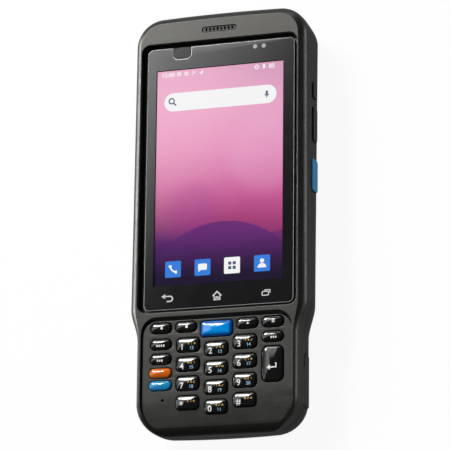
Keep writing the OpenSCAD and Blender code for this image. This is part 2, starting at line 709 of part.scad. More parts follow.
// ---------- Inner frame and main board ----------
frame_half = glass_w / 2 + glass_channel - 0.25;
frame_top_y = screen_y + display_l / 2 - 0.8;
frame_low_y = waist_y + 1;
frame_l = frame_top_y - frame_low_y;
frame_y = (frame_top_y + frame_low_y) / 2;
main_board_w = display_w - 5;
main_board_l = frame_l - 10;
main_board_y = frame_y + 2;
can_h = board_gap - 0.1;
standoff_in = 3;

module inner_frame() color("silver") difference() {
    union() {
        translate([0, frame_y, frame_z]) plate(2 * frame_half, frame_l, frame_t, 2);
        for (x = [-1, 1], y = [-1, 1]) translate([x * (main_board_w / 2 - standoff_in),
            main_board_y + y * (main_board_l / 2 - standoff_in), main_board_z + board_t])
                cylinder(r = 2, h = standoff_h + eps);
    }
    at_screws() cylinder(r = boss_r + fit_gap, h = deep);
    for (y = [-1, 1]) translate([0, frame_y + y * frame_l / 4, 0])
        plate(0.42 * frame_half * 2, 0.17 * frame_l, deep, 3);
}
module main_board() color(BOARD_GREEN) {
    translate([0, main_board_y, main_board_z]) plate(main_board_w, main_board_l, board_t, 2);
    // shielding cans above and below the board
    translate([0, main_board_y + 8, main_board_z + board_t]) plate(24, 14, standoff_h - 0.3, 0.6);
    translate([9, main_board_y + 14, main_board_z - can_h]) plate(22, 18, can_h, 0.6);
    translate([-14, main_board_y + 14, main_board_z - can_h]) plate(12, 18, can_h, 0.6);
}

// ---------- Back: battery bay, cover and latch ----------
battery_w = 2 * (grip_half - battery_side);
bay_w = battery_w + 2 * fit_gap;
cover_w = bay_w + 2 * cover_lap;
cover_foot = 3.3;
cover_head = 6.3;
contact_room = 1.6;
cover_y = cover_end - half_l;
bay_end_y = cover_y + cover_foot;
bay_top_y = bay_end_y + battery_l + contact_room;
cover_top_y = bay_top_y + cover_head;
battery_y = bay_end_y + fit_gap + battery_l / 2;
battery_z = bay_top_z - battery_t;
cover_r = 4;
tab_w = 8;
tab_reach = 2.2;
tab_t = 1;
tab_x = 13;
tab_swing = 2.4;
cover_axis_y = cover_y + cover_t / 2;
lug_w = 12;
lug_l = 3;
lug_back = 0.6;
lug_h = 3.4;
tongue_w = 8;
tongue_z = cover_t + 1.2;
tongue_t = 0.9;
tongue_gap = 0.25;
latch_bar = 2.4;
latch_well_l = 4.6 + 2 * latch_travel;
latch_well_depth = 1.6;
latch_knob_w = 12;
latch_knob_l = 5;
latch_top_y = cover_top_y + latch_bar + latch_well_l;
knob_y = latch_top_y - latch_knob_l / 2 - 0.6;
head_room_y = latch_top_y + 1;
contact_w = 14;
contact_z = 8;
contact_h = 3.5;

// Outline of the cover, grown by a gap: its hinge end has nearly square corners, so that it swings freely
module cover_outline(grow, hinge_r) {
    translate([0, (cover_y + cover_top_y) / 2])
        round_rect(cover_w + 2 * grow, cover_top_y - cover_y + 2 * grow, cover_r + grow);
    translate([0, cover_y + cover_r]) round_rect(cover_w + 2 * grow, 2 * (cover_r + grow), hinge_r);
}

module battery_cover() color(CASE_BLACK) difference() {
    union() {
        intersection() {
            rear_shell();
            translate([0, 0, -1]) linear_extrude(cover_t + 1) cover_outline(0, cover_t / 2);
        }
        for (x = [-tab_x, tab_x]) box(x - tab_w / 2, x + tab_w / 2, cover_y - tab_reach,
            bay_end_y - cover_gap, cover_t - eps, cover_t + tab_t);
        box(-lug_w / 2, lug_w / 2, cover_top_y - lug_back - lug_l, cover_top_y - lug_back,
            cover_t - eps, cover_t + lug_h);
    }
    // hinge end, rounded over its whole thickness
    difference() {
        box(-cover_w, cover_w, cover_y - 1, cover_axis_y, -1, cover_t);
        translate([-2 * cover_w, cover_axis_y, cover_t / 2]) rotate([0, 90, 0])
            cylinder(r = cover_t / 2, h = 4 * cover_w);
    }
    box(-tongue_w / 2 - 0.4, tongue_w / 2 + 0.4, cover_top_y - lug_l, cover_top_y,
        tongue_z - tongue_gap, tongue_z + tongue_t + tongue_gap);
    // grip ribs pressed into the outside
    for (i = [0 : 4]) box(-9, 9, cover_top_y - 9 - 2 * i, cover_top_y - 8.2 - 2 * i, -1, 0.35);
}
module battery_pack() color([0.16, 0.17, 0.19]) difference() {
    translate([0, battery_y, battery_z]) plate(battery_w, battery_l, battery_t, 2);
    // shallow pull recess in the face under the cover
    translate([0, battery_y - battery_l / 2 + 6, battery_z - 1]) plate(16, 5, 1.8, 2.4);
}
module battery_latch() color(CASE_BLACK) {
    difference() {
        translate([0, knob_y, 0.3]) plate(latch_knob_w, latch_knob_l, latch_well_depth - 0.4, 1.2);
        for (i = [-1 : 1]) box(-4.5, 4.5, knob_y + 1.3 * i - 0.3, knob_y + 1.3 * i + 0.3, -1, 0.6);
    }
    box(-1.5, 1.5, knob_y - 1.5, knob_y + 1.5, latch_well_depth - 0.2, tongue_z + eps);
    box(-tongue_w / 2, tongue_w / 2, cover_top_y, knob_y + 2, tongue_z, tongue_z + tongue_t);
}
module battery_contacts() color("goldenrod") {
    box(-contact_w / 2, contact_w / 2, bay_top_y, bay_top_y + 1.2, contact_z, contact_z + contact_h);
    for (i = [-1 : 1]) box(4 * i - 0.8, 4 * i + 0.8, battery_y + battery_l / 2, bay_top_y + eps,
        contact_z + 0.8, contact_z + contact_h - 0.8);
}

// ---------- Scan engine and window in the top end ----------
window_t = 1.2;
window_z = engine_h + 1.8;
window_y = half_l - 2.6;
window_r = 1;
side_room_in = 4;
head_low_inset = side_room_in + wall + 0.4;
nose_y = half_l - head_low_inset - fit_gap;
nose_half = window_w / 2 + 2.5;
engine_z = 5.2;
shelf_half = engine_w / 2 - 2;
module scan_window() color([0.35, 0.05, 0.08]) translate([0, window_y, window_z]) rotate([90, 0, 0])
    plate(window_w, window_h, window_t, window_r);
module scan_engine() color("dimgray") difference() {
    box(-engine_w / 2, engine_w / 2, nose_y - engine_l, nose_y, engine_z, engine_z + engine_h);
    for (x = [-engine_w / 4, engine_w / 4]) translate([x, nose_y + 1, engine_z + engine_h / 2])
        rotate([90, 0, 0]) cylinder(r = engine_w / 10, h = 2);
}

// ---------- Rear camera, loudspeaker and vibration motor ----------
rear_window_w = 17;
rear_window_l = 8.4;
rear_window_t = 1;
rear_window_z = 0.3;
rear_camera_x = -13;
rear_camera_y = half_l - 25.5;
lens_x = rear_camera_x - rear_window_w / 5;
lens_r = 3;
flash_x = rear_camera_x + rear_window_w * 0.3;
rear_body_w = 8.5;
rear_body_h = 4.5;
speaker_x = 13;
speaker_y = rear_camera_y - 0.5;
motor_x = 17;
motor_y = speaker_y - speaker_l / 2 - motor_r - 4.5;
motor_h = 3;
module rear_camera_window() color([0.05, 0.05, 0.06])
    translate([rear_camera_x, rear_camera_y, rear_window_z])
        plate(rear_window_w, rear_window_l, rear_window_t, rear_window_l / 2 - 0.1);
module rear_camera() color("dimgray") {
    seat_z = rear_window_z + rear_window_t;
    translate([lens_x, rear_camera_y, inner_back_z]) plate(rear_body_w, rear_body_w, rear_body_h, 0.6);
    difference() {
        translate([lens_x, rear_camera_y, seat_z]) cylinder(r = lens_r, h = inner_back_z - seat_z + eps);
        translate([lens_x, rear_camera_y, seat_z - eps]) cylinder(r1 = 2.2, r2 = 1, h = 0.8);
    }
    box(lens_x, flash_x + 2, rear_camera_y - 2, rear_camera_y + 2, inner_back_z, inner_back_z + 1.4);
}
module loudspeaker() color("dimgray") translate([speaker_x, speaker_y, inner_back_z])
    difference() {
        plate(speaker_w, speaker_l, speaker_h, 1.5);
        translate([0, 0, -eps]) plate(speaker_w - 3, speaker_l - 3, 0.4, 1);
    }
module vibration_motor() color("silver") translate([motor_x, motor_y, inner_back_z])
    cylinder(r = motor_r, h = motor_h);

// ---------- Side keys ----------
side_wall_t = 1.8;
side_stop_gap = 0.1;
side_tab = 0.5;
side_tab_t = 0.8;
side_tab_in = side_wall_t + side_stop_gap + side_tab_t;
side_key_r = 1.2;
side_scan_y = screen_y - side_scan_drop;
volume_y = screen_y + volume_rise;
power_y = screen_y + power_rise;
side_key_z = seam_z - 4.6;
side_scan_z = seam_z - 0.5 - side_scan_h / 2;
strip_t = 1;
strip_h = 5;
strip_over = 2;
switch_r = 1.3;

// A side key drawn for the right side: it slides along X in the side wall, held by a tab at each end
module side_slab(y, z, l, h, tab, gap, depth_in, depth_out)
    translate([half_w(y) - depth_in, y, z]) rotate([0, 90, 0])
        plate(h + 2 * gap, l + 2 * (tab + gap), depth_in + depth_out, side_key_r + gap);
module side_cap(y, z, l, h) {
    side_slab(y, z, l, h, 0, 0, side_tab_in, side_proud);
    side_slab(y, z, l, h, side_tab, 0, side_tab_in, side_tab_t - side_tab_in);
}
module side_hole(y, z, l, h) {
    side_slab(y, z, l, h, 0, key_gap, 2 * side_room_in, 2);
    side_slab(y, z, l, h, side_tab, key_gap, 2 * side_room_in, -side_wall_t);
}
module power_key() color(KEY_BLACK) side_cap(power_y, side_key_z, power_l, side_key_h);
module volume_key() color(KEY_BLACK) side_cap(volume_y, side_key_z, volume_l, side_key_h);
module scan_key_right() color(SCAN_BLUE) side_cap(side_scan_y, side_scan_z, side_scan_l, side_scan_h);
module scan_key_left() color(SCAN_BLUE) mirror([1, 0, 0])
    side_cap(side_scan_y, side_scan_z, side_scan_l, side_scan_h);

strip_low_y = side_scan_y - side_scan_l / 2 - strip_over;
strip_top_y = power_y + power_l / 2 + strip_over;
left_strip_top_y = side_scan_y + side_scan_l / 2 + strip_over;
strip_x = half_w(strip_top_y) - side_room_in;
module switch_strip(top_y, gap)
    box(strip_x - strip_t - gap, strip_x, strip_low_y - gap, top_y + gap,
        side_key_z - strip_h / 2 - gap, side_key_z + strip_h / 2 + gap);
module switch_bump(y) {
    top = half_w(y) - side_tab_in - side_travel - side_stop_gap;
    translate([strip_x - eps, y, side_key_z]) rotate([0, 90, 0])
        cylinder(r = switch_r, h = top - strip_x + eps);
}
module side_switches() color(BOARD_GREEN) {
    switch_strip(strip_top_y, 0);
    for (y = [side_scan_y, volume_y - volume_l / 4, volume_y + volume_l / 4, power_y]) switch_bump(y);
    mirror([1, 0, 0]) {
        switch_strip(left_strip_top_y, 0);
        switch_bump(side_scan_y);
    }
}

// ---------- Connector, its cover and the cover's pin ----------
pin_root = 1.6;
notch_l = 4.6;
notch_d = 0.9;
usb_h = 3.2;
usb_wall = 0.35;
usb_y = io_hinge_y + io_cover_l / 2 + 0.6;
usb_gap = 0.1;

module io_cover() color(CASE_BLACK) difference() {
    union() {
        box(grip_half - io_cover_t, grip_half, io_hinge_y, io_top_y, io_low_z, io_low_z + io_cover_h);
        translate([io_axis_x, io_hinge_y, io_low_z]) cylinder(r = io_cover_t / 2, h = io_cover_h);
    }
    translate([io_axis_x, io_hinge_y, 0]) cylinder(r = io_pin_r + pin_clearance, h = deep);
    // finger notch in the free end
    box(grip_half - notch_d, grip_half + 1, io_top_y - notch_l, io_top_y + 1,
        io_low_z + io_cover_h - notch_d, io_low_z + io_cover_h + 1);
}
module io_cover_pin() color("silver") translate([io_axis_x, io_hinge_y, io_low_z - pin_root])
    cylinder(r = io_pin_r, h = seam_z - io_low_z + pin_root);
module usb_connector() color("silver") translate([grip_half - io_cover_t - io_gap, usb_y, io_z])
    rotate([0, -90, 0]) difference() {
        plate(usb_h, usb_w, usb_depth, usb_h / 2 - 0.05);
        translate([0, 0, -eps]) plate(usb_h - 2 * usb_wall, usb_w - 2 * usb_wall, usb_depth - 1,
            usb_h / 2 - usb_wall - 0.05);
    }

// ---------- Charging contacts in the bottom end ----------
charge_z = 7;
charge_w = 21.6;
charge_h = 3.2;
charge_t = 1.4;
charge_in = 3.8;
charge_y = charge_in - half_l;
charge_pitch = 4;
module charge_contacts() color("goldenrod") {
    box(-charge_w / 2, charge_w / 2, charge_y - charge_t, charge_y, charge_z - charge_h / 2,
        charge_z + charge_h / 2);
    for (i = [-2 : 2]) translate([charge_pitch * i, charge_y - charge_t + eps, charge_z]) rotate([90, 0, 0])
        cylinder(r = 0.9, h = 0.35);
}

// ---------- Rear casing ----------
upper_inset = wall + 0.6;
head_low_top = 6;
roof_post_z = bay_roof_z - eps;
back_post_z = inner_back_z - eps;
frame_posts = [for (x = [-1, 1], y = [head_room_y - 7, head_room_y - 29]) [x * (display_w / 2 - 0.4), y]];
head_posts = [for (x = [-1, 1]) [x * (display_w / 2 - 0.4), screen_y + display_l / 2 - 13]];
keypad_posts = [for (x = [-1, 1]) each [[x * 20, panel_top_y - 6], [x * 14, key_well_end_y + 5]]];
module posts(places, low_z, top_z) for (p = places) translate([p[0], p[1], low_z])
    cylinder(r = post_r, h = top_z - low_z);

module head_room() difference() {
    union() {
        translate([0, 0, head_low_top]) linear_extrude(deep) inner_outline(side_room_in);
        translate([0, 0, inner_back_z]) linear_extrude(deep) inner_outline(head_low_inset);
    }
    box(-deep, deep, -deep, head_room_y, -deep, deep);
    // frame of the scan window and shelf of the scan engine
    box(-nose_half, nose_half, nose_y, deep, -deep, window_z + window_h / 2 + 1.2);
    box(-shelf_half, shelf_half, nose_y - engine_l + 2, nose_y, -deep, engine_z);
}
module upper_room() translate([0, 0, bay_roof_z]) linear_extrude(deep) inner_outline(upper_inset);

module rear_case() color(CASE_BLACK) {
    difference() {
        rear_shell();
        difference() {
            union() {
                upper_room();
                head_room();
            }
            at_screws() cylinder(r = boss_r, h = deep);
        }
        rear_cuts();
    }
    posts(frame_posts, roof_post_z, frame_z);
    posts(head_posts, back_post_z, frame_z);
    posts(keypad_posts, roof_post_z, keypad_board_z);
}
module rear_cuts() {
    // battery bay, seat of the cover, slots for its tabs, room for its lug
    translate([0, (bay_end_y + bay_top_y) / 2, -1]) plate(bay_w, bay_top_y - bay_end_y, bay_top_z + 1, 1);
    translate([0, 0, -1]) linear_extrude(cover_t + 1) cover_outline(cover_gap, cover_gap);
    for (x = [-tab_x, tab_x]) box(x - tab_w / 2 - 0.3, x + tab_w / 2 + 0.3, cover_y - tab_reach - 0.4,
        bay_end_y + 1, cover_t - 0.3, cover_t + tab_t + tab_swing);
    box(-lug_w / 2 - 0.4, lug_w / 2 + 0.4, cover_top_y - 2 * lug_back - lug_l, cover_top_y + cover_gap, -1,
        cover_t + lug_h + 0.5);
    // latch: well for the knob, slot for the neck, channel for the tongue
    translate([0, cover_top_y + latch_bar + latch_well_l / 2, -1])
        plate(latch_knob_w + 2, latch_well_l, latch_well_depth + 1, 1.4);
    box(-1.8, 1.8, knob_y - 1.8 - latch_travel, knob_y + 1.8, 0, tongue_z + tongue_t);
    box(-tongue_w / 2 - 0.3, tongue_w / 2 + 0.3, cover_top_y - 1, latch_top_y, tongue_z - tongue_gap,
        tongue_z + tongue_t + tongue_gap);
    // battery contacts
    box(-contact_w / 2 - 0.1, contact_w / 2 + 0.1, bay_top_y - 1, bay_top_y + 1.2,
        contact_z - 0.1, contact_z + contact_h + 0.1);
    // scan window, its seat and the way through to the engine
    translate([0, half_l + 1, window_z]) rotate([90, 0, 0])
        plate(window_w + fit_gap, window_h + fit_gap, half_l + 1 - window_y + window_t,
            window_r + fit_gap / 2);
    translate([0, half_l, window_z]) rotate([90, 0, 0])
        plate(window_w - 4, window_h - 2, half_l - nose_y + 2, window_r);
    // rear camera window, lens hole, flash hole, loudspeaker slots
    translate([rear_camera_x, rear_camera_y, -1]) plate(rear_window_w + fit_gap, rear_window_l + fit_gap,
        rear_window_z + rear_window_t + 1, rear_window_l / 2);
    translate([lens_x, rear_camera_y, -1]) cylinder(r = lens_r + fit_gap, h = inner_back_z + 2);
    translate([flash_x, rear_camera_y, -1]) cylinder(r = lens_r / 2, h = inner_back_z + 2);
    for (i = [-2 : 2]) translate([speaker_x + speaker_w * 0.15 * i, speaker_y, -1])
        linear_extrude(inner_back_z + 2) round_rect(1, speaker_l - 4, 0.49);
    // side keys and the strips of their switches
    side_hole(power_y, side_key_z, power_l, side_key_h);
    side_hole(volume_y, side_key_z, volume_l, side_key_h);
    side_hole(side_scan_y, side_scan_z, side_scan_l, side_scan_h);
    mirror([1, 0, 0]) side_hole(side_scan_y, side_scan_z, side_scan_l, side_scan_h);
    switch_strip(strip_top_y, fit_gap);
    mirror([1, 0, 0]) switch_strip(left_strip_top_y, fit_gap);
    // connector cover, its pin and the connector
    box(grip_half - io_cover_t - io_gap, grip_half + 5, io_hinge_y - io_cover_t / 2 - io_gap,
        io_top_y + io_gap, io_low_z - io_gap, io_low_z + io_cover_h + io_gap);
    translate([io_axis_x, io_hinge_y, io_low_z - pin_root]) cylinder(r = io_pin_r + 0.02, h = deep);
    translate([grip_half - io_cover_t, usb_y, io_z]) rotate([0, -90, 0])
        plate(usb_h + 2 * usb_gap, usb_w + 2 * usb_gap, usb_depth + io_gap + usb_gap, usb_h / 2);
    // charging contacts
    box(-charge_w / 2 - 0.1, charge_w / 2 + 0.1, -deep, charge_y, charge_z - charge_h / 2 - 0.1,
        charge_z + charge_h / 2 + 0.1);
    // screws
    at_screws() {
        translate([0, 0, -1]) cylinder(r = screw_head_r + fit_gap, h = screw_head_z + screw_head_t + 1);
        cylinder(r = screw_r + fit_gap, h = deep);
    }
}

front_case();
rear_case();
case_seal();
touch_glass();
display_gasket();
display_module();
front_camera_window();
front_camera();
proximity_sensor();
earpiece_grille();
earpiece_receiver();
keypad_panel();
keypad_mat();
keypad_board();
key_soft_left();
key_soft_mid_left();
key_scan();
key_soft_mid_right();
key_soft_right();
key_function_upper();
key_function_lower();
key_shift_orange();
key_shift_blue();
key_1();
key_2();
key_3();
key_4();
key_5();
key_6();
key_7();
key_8();
key_9();
key_star();
key_0();
key_hash();
key_clear();
key_enter();
inner_frame();
main_board();
scan_window();
scan_engine();
rear_camera_window();
rear_camera();
loudspeaker();
battery_pack();
battery_cover();
battery_latch();
battery_contacts();
charge_contacts();
usb_connector();
io_cover();
io_cover_pin();
power_key();
volume_key();
scan_key_right();
scan_key_left();
side_switches();
vibration_motor();
case_screws();
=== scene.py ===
import math

import bmesh
import bpy
from mathutils import Matrix, Vector


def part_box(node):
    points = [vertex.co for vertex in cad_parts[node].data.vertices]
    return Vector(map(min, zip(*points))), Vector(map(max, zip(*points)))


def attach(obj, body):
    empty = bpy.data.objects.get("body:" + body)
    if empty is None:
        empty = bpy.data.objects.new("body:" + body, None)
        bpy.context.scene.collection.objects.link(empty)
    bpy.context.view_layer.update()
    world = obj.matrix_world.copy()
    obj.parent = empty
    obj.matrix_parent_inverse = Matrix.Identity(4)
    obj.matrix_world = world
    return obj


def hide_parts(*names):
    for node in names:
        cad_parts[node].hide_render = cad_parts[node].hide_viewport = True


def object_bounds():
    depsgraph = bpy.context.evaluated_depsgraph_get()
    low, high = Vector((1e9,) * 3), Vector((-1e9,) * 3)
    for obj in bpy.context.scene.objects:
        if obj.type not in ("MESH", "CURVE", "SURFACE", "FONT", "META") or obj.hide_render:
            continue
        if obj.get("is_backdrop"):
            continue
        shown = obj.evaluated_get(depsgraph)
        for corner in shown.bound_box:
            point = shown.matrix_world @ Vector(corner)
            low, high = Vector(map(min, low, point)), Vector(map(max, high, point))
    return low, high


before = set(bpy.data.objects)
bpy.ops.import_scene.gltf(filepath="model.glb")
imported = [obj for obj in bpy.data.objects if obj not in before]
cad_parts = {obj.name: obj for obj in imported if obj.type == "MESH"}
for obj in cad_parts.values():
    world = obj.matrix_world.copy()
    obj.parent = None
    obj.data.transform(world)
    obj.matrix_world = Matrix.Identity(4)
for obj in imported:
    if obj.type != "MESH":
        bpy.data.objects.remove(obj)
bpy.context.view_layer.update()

# ---- Camera ----
# A long lens about a metre off, below the middle and to the right of the terminal, so that its
# right side shows. It is set against the middle of the touch glass.
MM = 0.001
camera_distance = 1100
camera_framing = Vector((-2.21, 19.77, 0))
camera_roll, camera_tilt, camera_swing = -0.64, -14.68, -18.92
camera_turn = (Matrix.Rotation(math.radians(camera_roll), 3, "Z")
               @ Matrix.Rotation(math.radians(camera_tilt), 3, "X")
               @ Matrix.Rotation(math.radians(camera_swing), 3, "Y"))


def extent(name):
    """Lowest and highest corner of a node of the frame, in millimetres."""
    low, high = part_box(name)
    return low / MM, high / MM


def middle(name):
    """The middle of a node of the frame, in millimetres."""
    return [(a + b) / 2 for a, b in zip(*extent(name))]


def link(name, data):
    """A mesh, curve, lamp or camera put into the scene as an object."""
    made = bpy.data.objects.new(name, data)
    bpy.context.scene.collection.objects.link(made)
    return made


glass_low, glass_high = extent("touch_glass")
screen_y = middle("touch_glass")[1]
glass_top_z = glass_high.z
camera = link("camera", bpy.data.cameras.new("camera"))
camera.data.lens = 229.3
camera.data.sensor_width = 36
camera.data.clip_start = 0.05
camera.data.clip_end = 40
camera_place = Vector((0, screen_y, glass_top_z)) + camera_turn.transposed() @ (
    Vector((0, 0, camera_distance)) - camera_framing)
camera.matrix_world = (Matrix.Translation(camera_place * MM)
                       @ camera_turn.transposed().to_4x4())
bpy.context.scene.camera = camera
bpy.context.scene.view_settings.view_transform = "Standard"

# ---- Studio ----
# A white table a hair under the terminal, which only the camera sees, from above, so that pale light
# from below reaches the back too, with less of it from beyond the bottom end. The room is bright beyond
# the upper left end and dim elsewhere, and four flat lamps stand round it.
table_half = 12.0
table_drop = 0.0001
table_white = 0.90
table_glow = 0.93
below_ring, below_middle = 0.45, 0.14
ring_end, middle_start = -0.75, -0.90
near_dim = 0.85
near_from, near_to = -0.30, -0.70
shallow_from, shallow_to = -0.45, -0.30
horizon_blur = 0.05
dim_room, bright_room, far_room = 0.06, 3.3, 0.45
bright_side = Vector((-0.75, 0.66, 0.0))
bright_from, bright_to = 0.40, 0.485
fade_from, fade_to = 0.52, 0.64


class Wire:
    """A value in a node tree, so that a finish is written as a sum."""

    def __init__(self, tree, socket):
        self.tree = tree
        self.socket = socket

    def maths(self, operation, first, second=0.0):
        return node(self.tree, "ShaderNodeMath", {0: first, 1: second}, operation=operation)

    def larger(self, other):
        return self.maths("MAXIMUM", self, other)

    def __abs__(self):
        return self.maths("ABSOLUTE", self)

    def __add__(self, other):
        return self.maths("ADD", self, other)

    def __sub__(self, other):
        return self.maths("SUBTRACT", self, other)

    def __rsub__(self, other):
        return self.maths("SUBTRACT", other, self)

    def __mul__(self, other):
        return self.maths("MULTIPLY", self, other)

    def __truediv__(self, other):
        return self.maths("DIVIDE", self, other)

    def __pow__(self, other):
        return self.maths("POWER", self, other)

    __radd__ = __add__
    __rmul__ = __mul__


def node(tree, kind, sockets=None, out=0, stops=None, **settings):
    """One node: its settings first, then the values or wires of its sockets. Gives an output."""
    made = tree.nodes.new(kind)
    for name, setting in settings.items():
        setattr(made, name, setting)
    if stops:
        ends = made.color_ramp.elements
        ends[0].position, ends[0].color = stops[0]
        ends[1].position, ends[1].color = stops[-1]
        for place, colour in stops[1:-1]:
            ends.new(place).color = colour
    for key, value in (sockets or {}).items():
        if isinstance(value, Wire):
            tree.links.new(value.socket, made.inputs[key])
        else:
            made.inputs[key].default_value = value
    return Wire(tree, made.outputs[out]) if len(made.outputs) else None


def new_tree(owner):
    owner.use_nodes = True
    owner.node_tree.nodes.clear()
    return owner.node_tree


def axis_of(vector, axis):
    return node(vector.tree, "ShaderNodeSeparateXYZ", {0: vector}, axis)


def smooth_step(value, low, high, start=0.0, end=1.0):
    """From start to end, eased, while the value goes from low to high."""
    return node(value.tree, "ShaderNodeMapRange", {"Value": value, "From Min": low, "From Max": high,
                "To Min": start, "To Max": end}, interpolation_type="SMOOTHSTEP")


room = bpy.data.worlds.new("room")
bpy.context.scene.world = room
tree = new_tree(room)
direction = node(tree, "ShaderNodeTexCoord", out="Generated")
toward = node(tree, "ShaderNodeVectorMath", {0: direction, 1: bright_side}, "Value",
              operation="DOT_PRODUCT")
height = axis_of(direction, "Z")
patch = smooth_step(toward, bright_from, bright_to, dim_room, bright_room)
fade = smooth_step(toward, fade_from, fade_to, 0.0, bright_room - far_room)
below = smooth_step(height, 0.0, -horizon_blur)
under = smooth_step(height, ring_end, middle_start, below_ring, below_middle)
near = smooth_step(axis_of(direction, "Y"), near_from, near_to)
shallow = smooth_step(height, shallow_from, shallow_to)
under = under * (1 - near * shallow * near_dim)
seen = node(tree, "ShaderNodeLightPath", out="Is Camera Ray")
level = (patch - fade) * (1 - below) + under * below
level = level * (1 - seen) + seen
node(tree, "ShaderNodeOutputWorld", {"Surface": node(tree, "ShaderNodeBackground",
     {"Color": (1, 1, 1, 1), "Strength": level})})

table_mesh = bpy.data.meshes.new("table")
table_mesh.from_pydata([(x * table_half, y * table_half, -table_drop) for x, y in
                        ((-1, -1), (1, -1), (1, 1), (-1, 1))], [], [(0, 1, 2, 3)])
table = link("table", table_mesh)
table_finish = bpy.data.materials.new("table_paper")
tree = new_tree(table_finish)
paper = node(tree, "ShaderNodeBsdfDiffuse", {"Color": (table_white, table_white, table_white, 1)})
glow_paper = node(tree, "ShaderNodeEmission", {"Color": (1, 1, 1, 1), "Strength": 1.0})
paper = node(tree, "ShaderNodeMixShader", {0: table_glow, 1: paper, 2: glow_paper})
seen = node(tree, "ShaderNodeLightPath", out="Is Camera Ray")
below = node(tree, "ShaderNodeNewGeometry", out="Backfacing")
node(tree, "ShaderNodeOutputMaterial", {"Surface": node(tree, "ShaderNodeMixShader",
     {0: seen * (1 - below), 1: node(tree, "ShaderNodeBsdfTransparent"), 2: paper})})
table_mesh.materials.append(table_finish)
table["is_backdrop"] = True


def softbox(name, toward, distance, width, length, power):
    """A flat soft lamp, in metres, in the given direction from the middle of the terminal."""
    lamp = link(name, bpy.data.lights.new(name, "AREA"))
    lamp.data.shape = "RECTANGLE"
    lamp.data.size = width
    lamp.data.size_y = length
    lamp.data.energy = power
    way = Vector(toward).normalized()
    lamp.matrix_world = (Matrix.Translation(way * distance)
                         @ way.to_track_quat("Z", "Y").to_matrix().to_4x4())


softbox("overhead_softbox", (-0.42, 0.50, 0.76), 1.8, 0.6, 0.34, 24)
softbox("top_strip", (-0.31, 0.86, 0.42), 1.3, 0.9, 0.08, 5)
softbox("right_strip", (0.94, 0.26, -0.10), 1.6, 1.0, 0.30, 7)
softbox("left_strip", (-0.96, 0.27, 0.03), 1.6, 1.0, 0.16, 17)

# ---- Front casing ----
# The upper half of the housing, moulded in glass-filled nylon with a fine spark-eroded grain. It
# holds the glass in a deep pocket behind a rim, and six screws from the back close it on the rear half.
front_low, front_high = extent("front_case")
half_l = front_high.y
body_t = front_high.z
seam_z = front_low.z
grip_half = extent("io_cover")[1].x
glass_channel = 1.2
side_channel = 1.65
side_lip = 0.85
head_shoulder_w = 2.9
grip_shoulder_w = 2.0
head_top_half = glass_high.x + glass_channel + side_lip + head_shoulder_w
head_low_half = front_high.x
top_corner_r = 11.2
bottom_corner_r = 13.0
end_bow = 0.4
waist_rise = 5.4
waist_l = 13.0
panel_low, panel_high = extent("keypad_panel")
panel_top_y = panel_high.y + 0.1
panel_end_y = panel_low.y - 0.1
panel_half = panel_high.x + 0.1
panel_z = panel_high.z
panel_top_r = 6.0
panel_bottom_r = 11.0
foot_round_r = 7.0
foot_round_l = 13.0
foot_squareness = 2.2
roll_start_y = -66.0
roll_r = 132.0
slope_l = 1.3
well_margin, well_foot_margin = 2.3, 13.4
seam_groove, groove_edge_h, groove_top_h = 0.25, 0.1, 0.35
front_h = body_t - seam_z
corner_steps = 20
waist_y = panel_top_y + waist_rise
waist_end_y = waist_y - waist_l
head_side_top = half_l - end_bow - top_corner_r


def mix(a, b, t):
    """From a to b by the share t."""
    return a + (b - a) * t


def clamp(t):
    return min(1.0, max(0.0, t))


def head_share(y):
    """0 along the grip, 1 along the head, with an eased waist between them."""
    t = clamp((y - waist_end_y) / waist_l)
    return t * t * (3 - 2 * t)


def head_run(y):
    """0 where the head starts, 1 where its upper corners start."""
    return clamp((y - waist_y) / (head_side_top - waist_y))


def half_width(y):
    return mix(grip_half, mix(head_low_half, head_top_half, head_run(y)), head_share(y))


def arc(x, y, r, start, end, steps=12):
    """Points round x, y from one angle to another, in degrees."""
    angles = [math.radians(mix(start, end, i / steps)) for i in range(steps + 1)]
    return [(x + r * math.cos(a), y + r * math.sin(a)) for a in angles]


def casing_side():
    """The right side of the casing's outline, from the bottom middle to the top middle."""
    flat, end_y = grip_half - bottom_corner_r, end_bow + bottom_corner_r - half_l
    points = [(flat * i / 6, end_bow * (i / 6) ** 2 - half_l) for i in range(6)]
    points += arc(flat, end_y, bottom_corner_r, -90, 0, corner_steps)
    heights = [mix(end_y, waist_end_y, i / 6) for i in range(1, 6)]
    heights += [mix(waist_end_y, waist_y, i / 24) for i in range(25)]
    heights += [mix(waist_y, head_side_top, i / 12) for i in range(1, 12)]
    points += [(half_width(y), y) for y in heights]
    flat = head_top_half - top_corner_r
    points += arc(flat, head_side_top, top_corner_r, 0, 90, corner_steps)
    return points + [(flat * i / 6, half_l - end_bow * (i / 6) ** 2) for i in range(5, -1, -1)]


side = casing_side()
outline = side + [(-x, y) for x, y in side[-2:0:-1]]


def outward(index):
    """The way out of the casing at a point of its outline."""
    before = Vector(outline[index - 1])
    after = Vector(outline[(index + 1) % len(outline)])
    along = (after - before).normalized()
    return Vector((along.y, -along.x))


normals = [outward(i) for i in range(len(outline))]


def inner_outline(inset):
    """The casing's outline, as much smaller all round."""
    return [(p[0] - n.x * inset, p[1] - n.y * inset) for p, n in zip(outline, normals)]


def loft(name, rings):
    """A closed solid through rings of as many points each, from the lowest up, in millimetres."""
    count = len(rings[0])
    mesh = bpy.data.meshes.new(name)
    faces = [list(range(count))[::-1], [(len(rings) - 1) * count + i for i in range(count)]]
    for k in range(len(rings) - 1):
        for i in range(count):
            j = (i + 1) % count
            faces.append((k * count + i, k * count + j, (k + 1) * count + j, (k + 1) * count + i))
    mesh.from_pydata([Vector(p) * MM for ring in rings for p in ring], [], faces)
    return link(name, mesh)


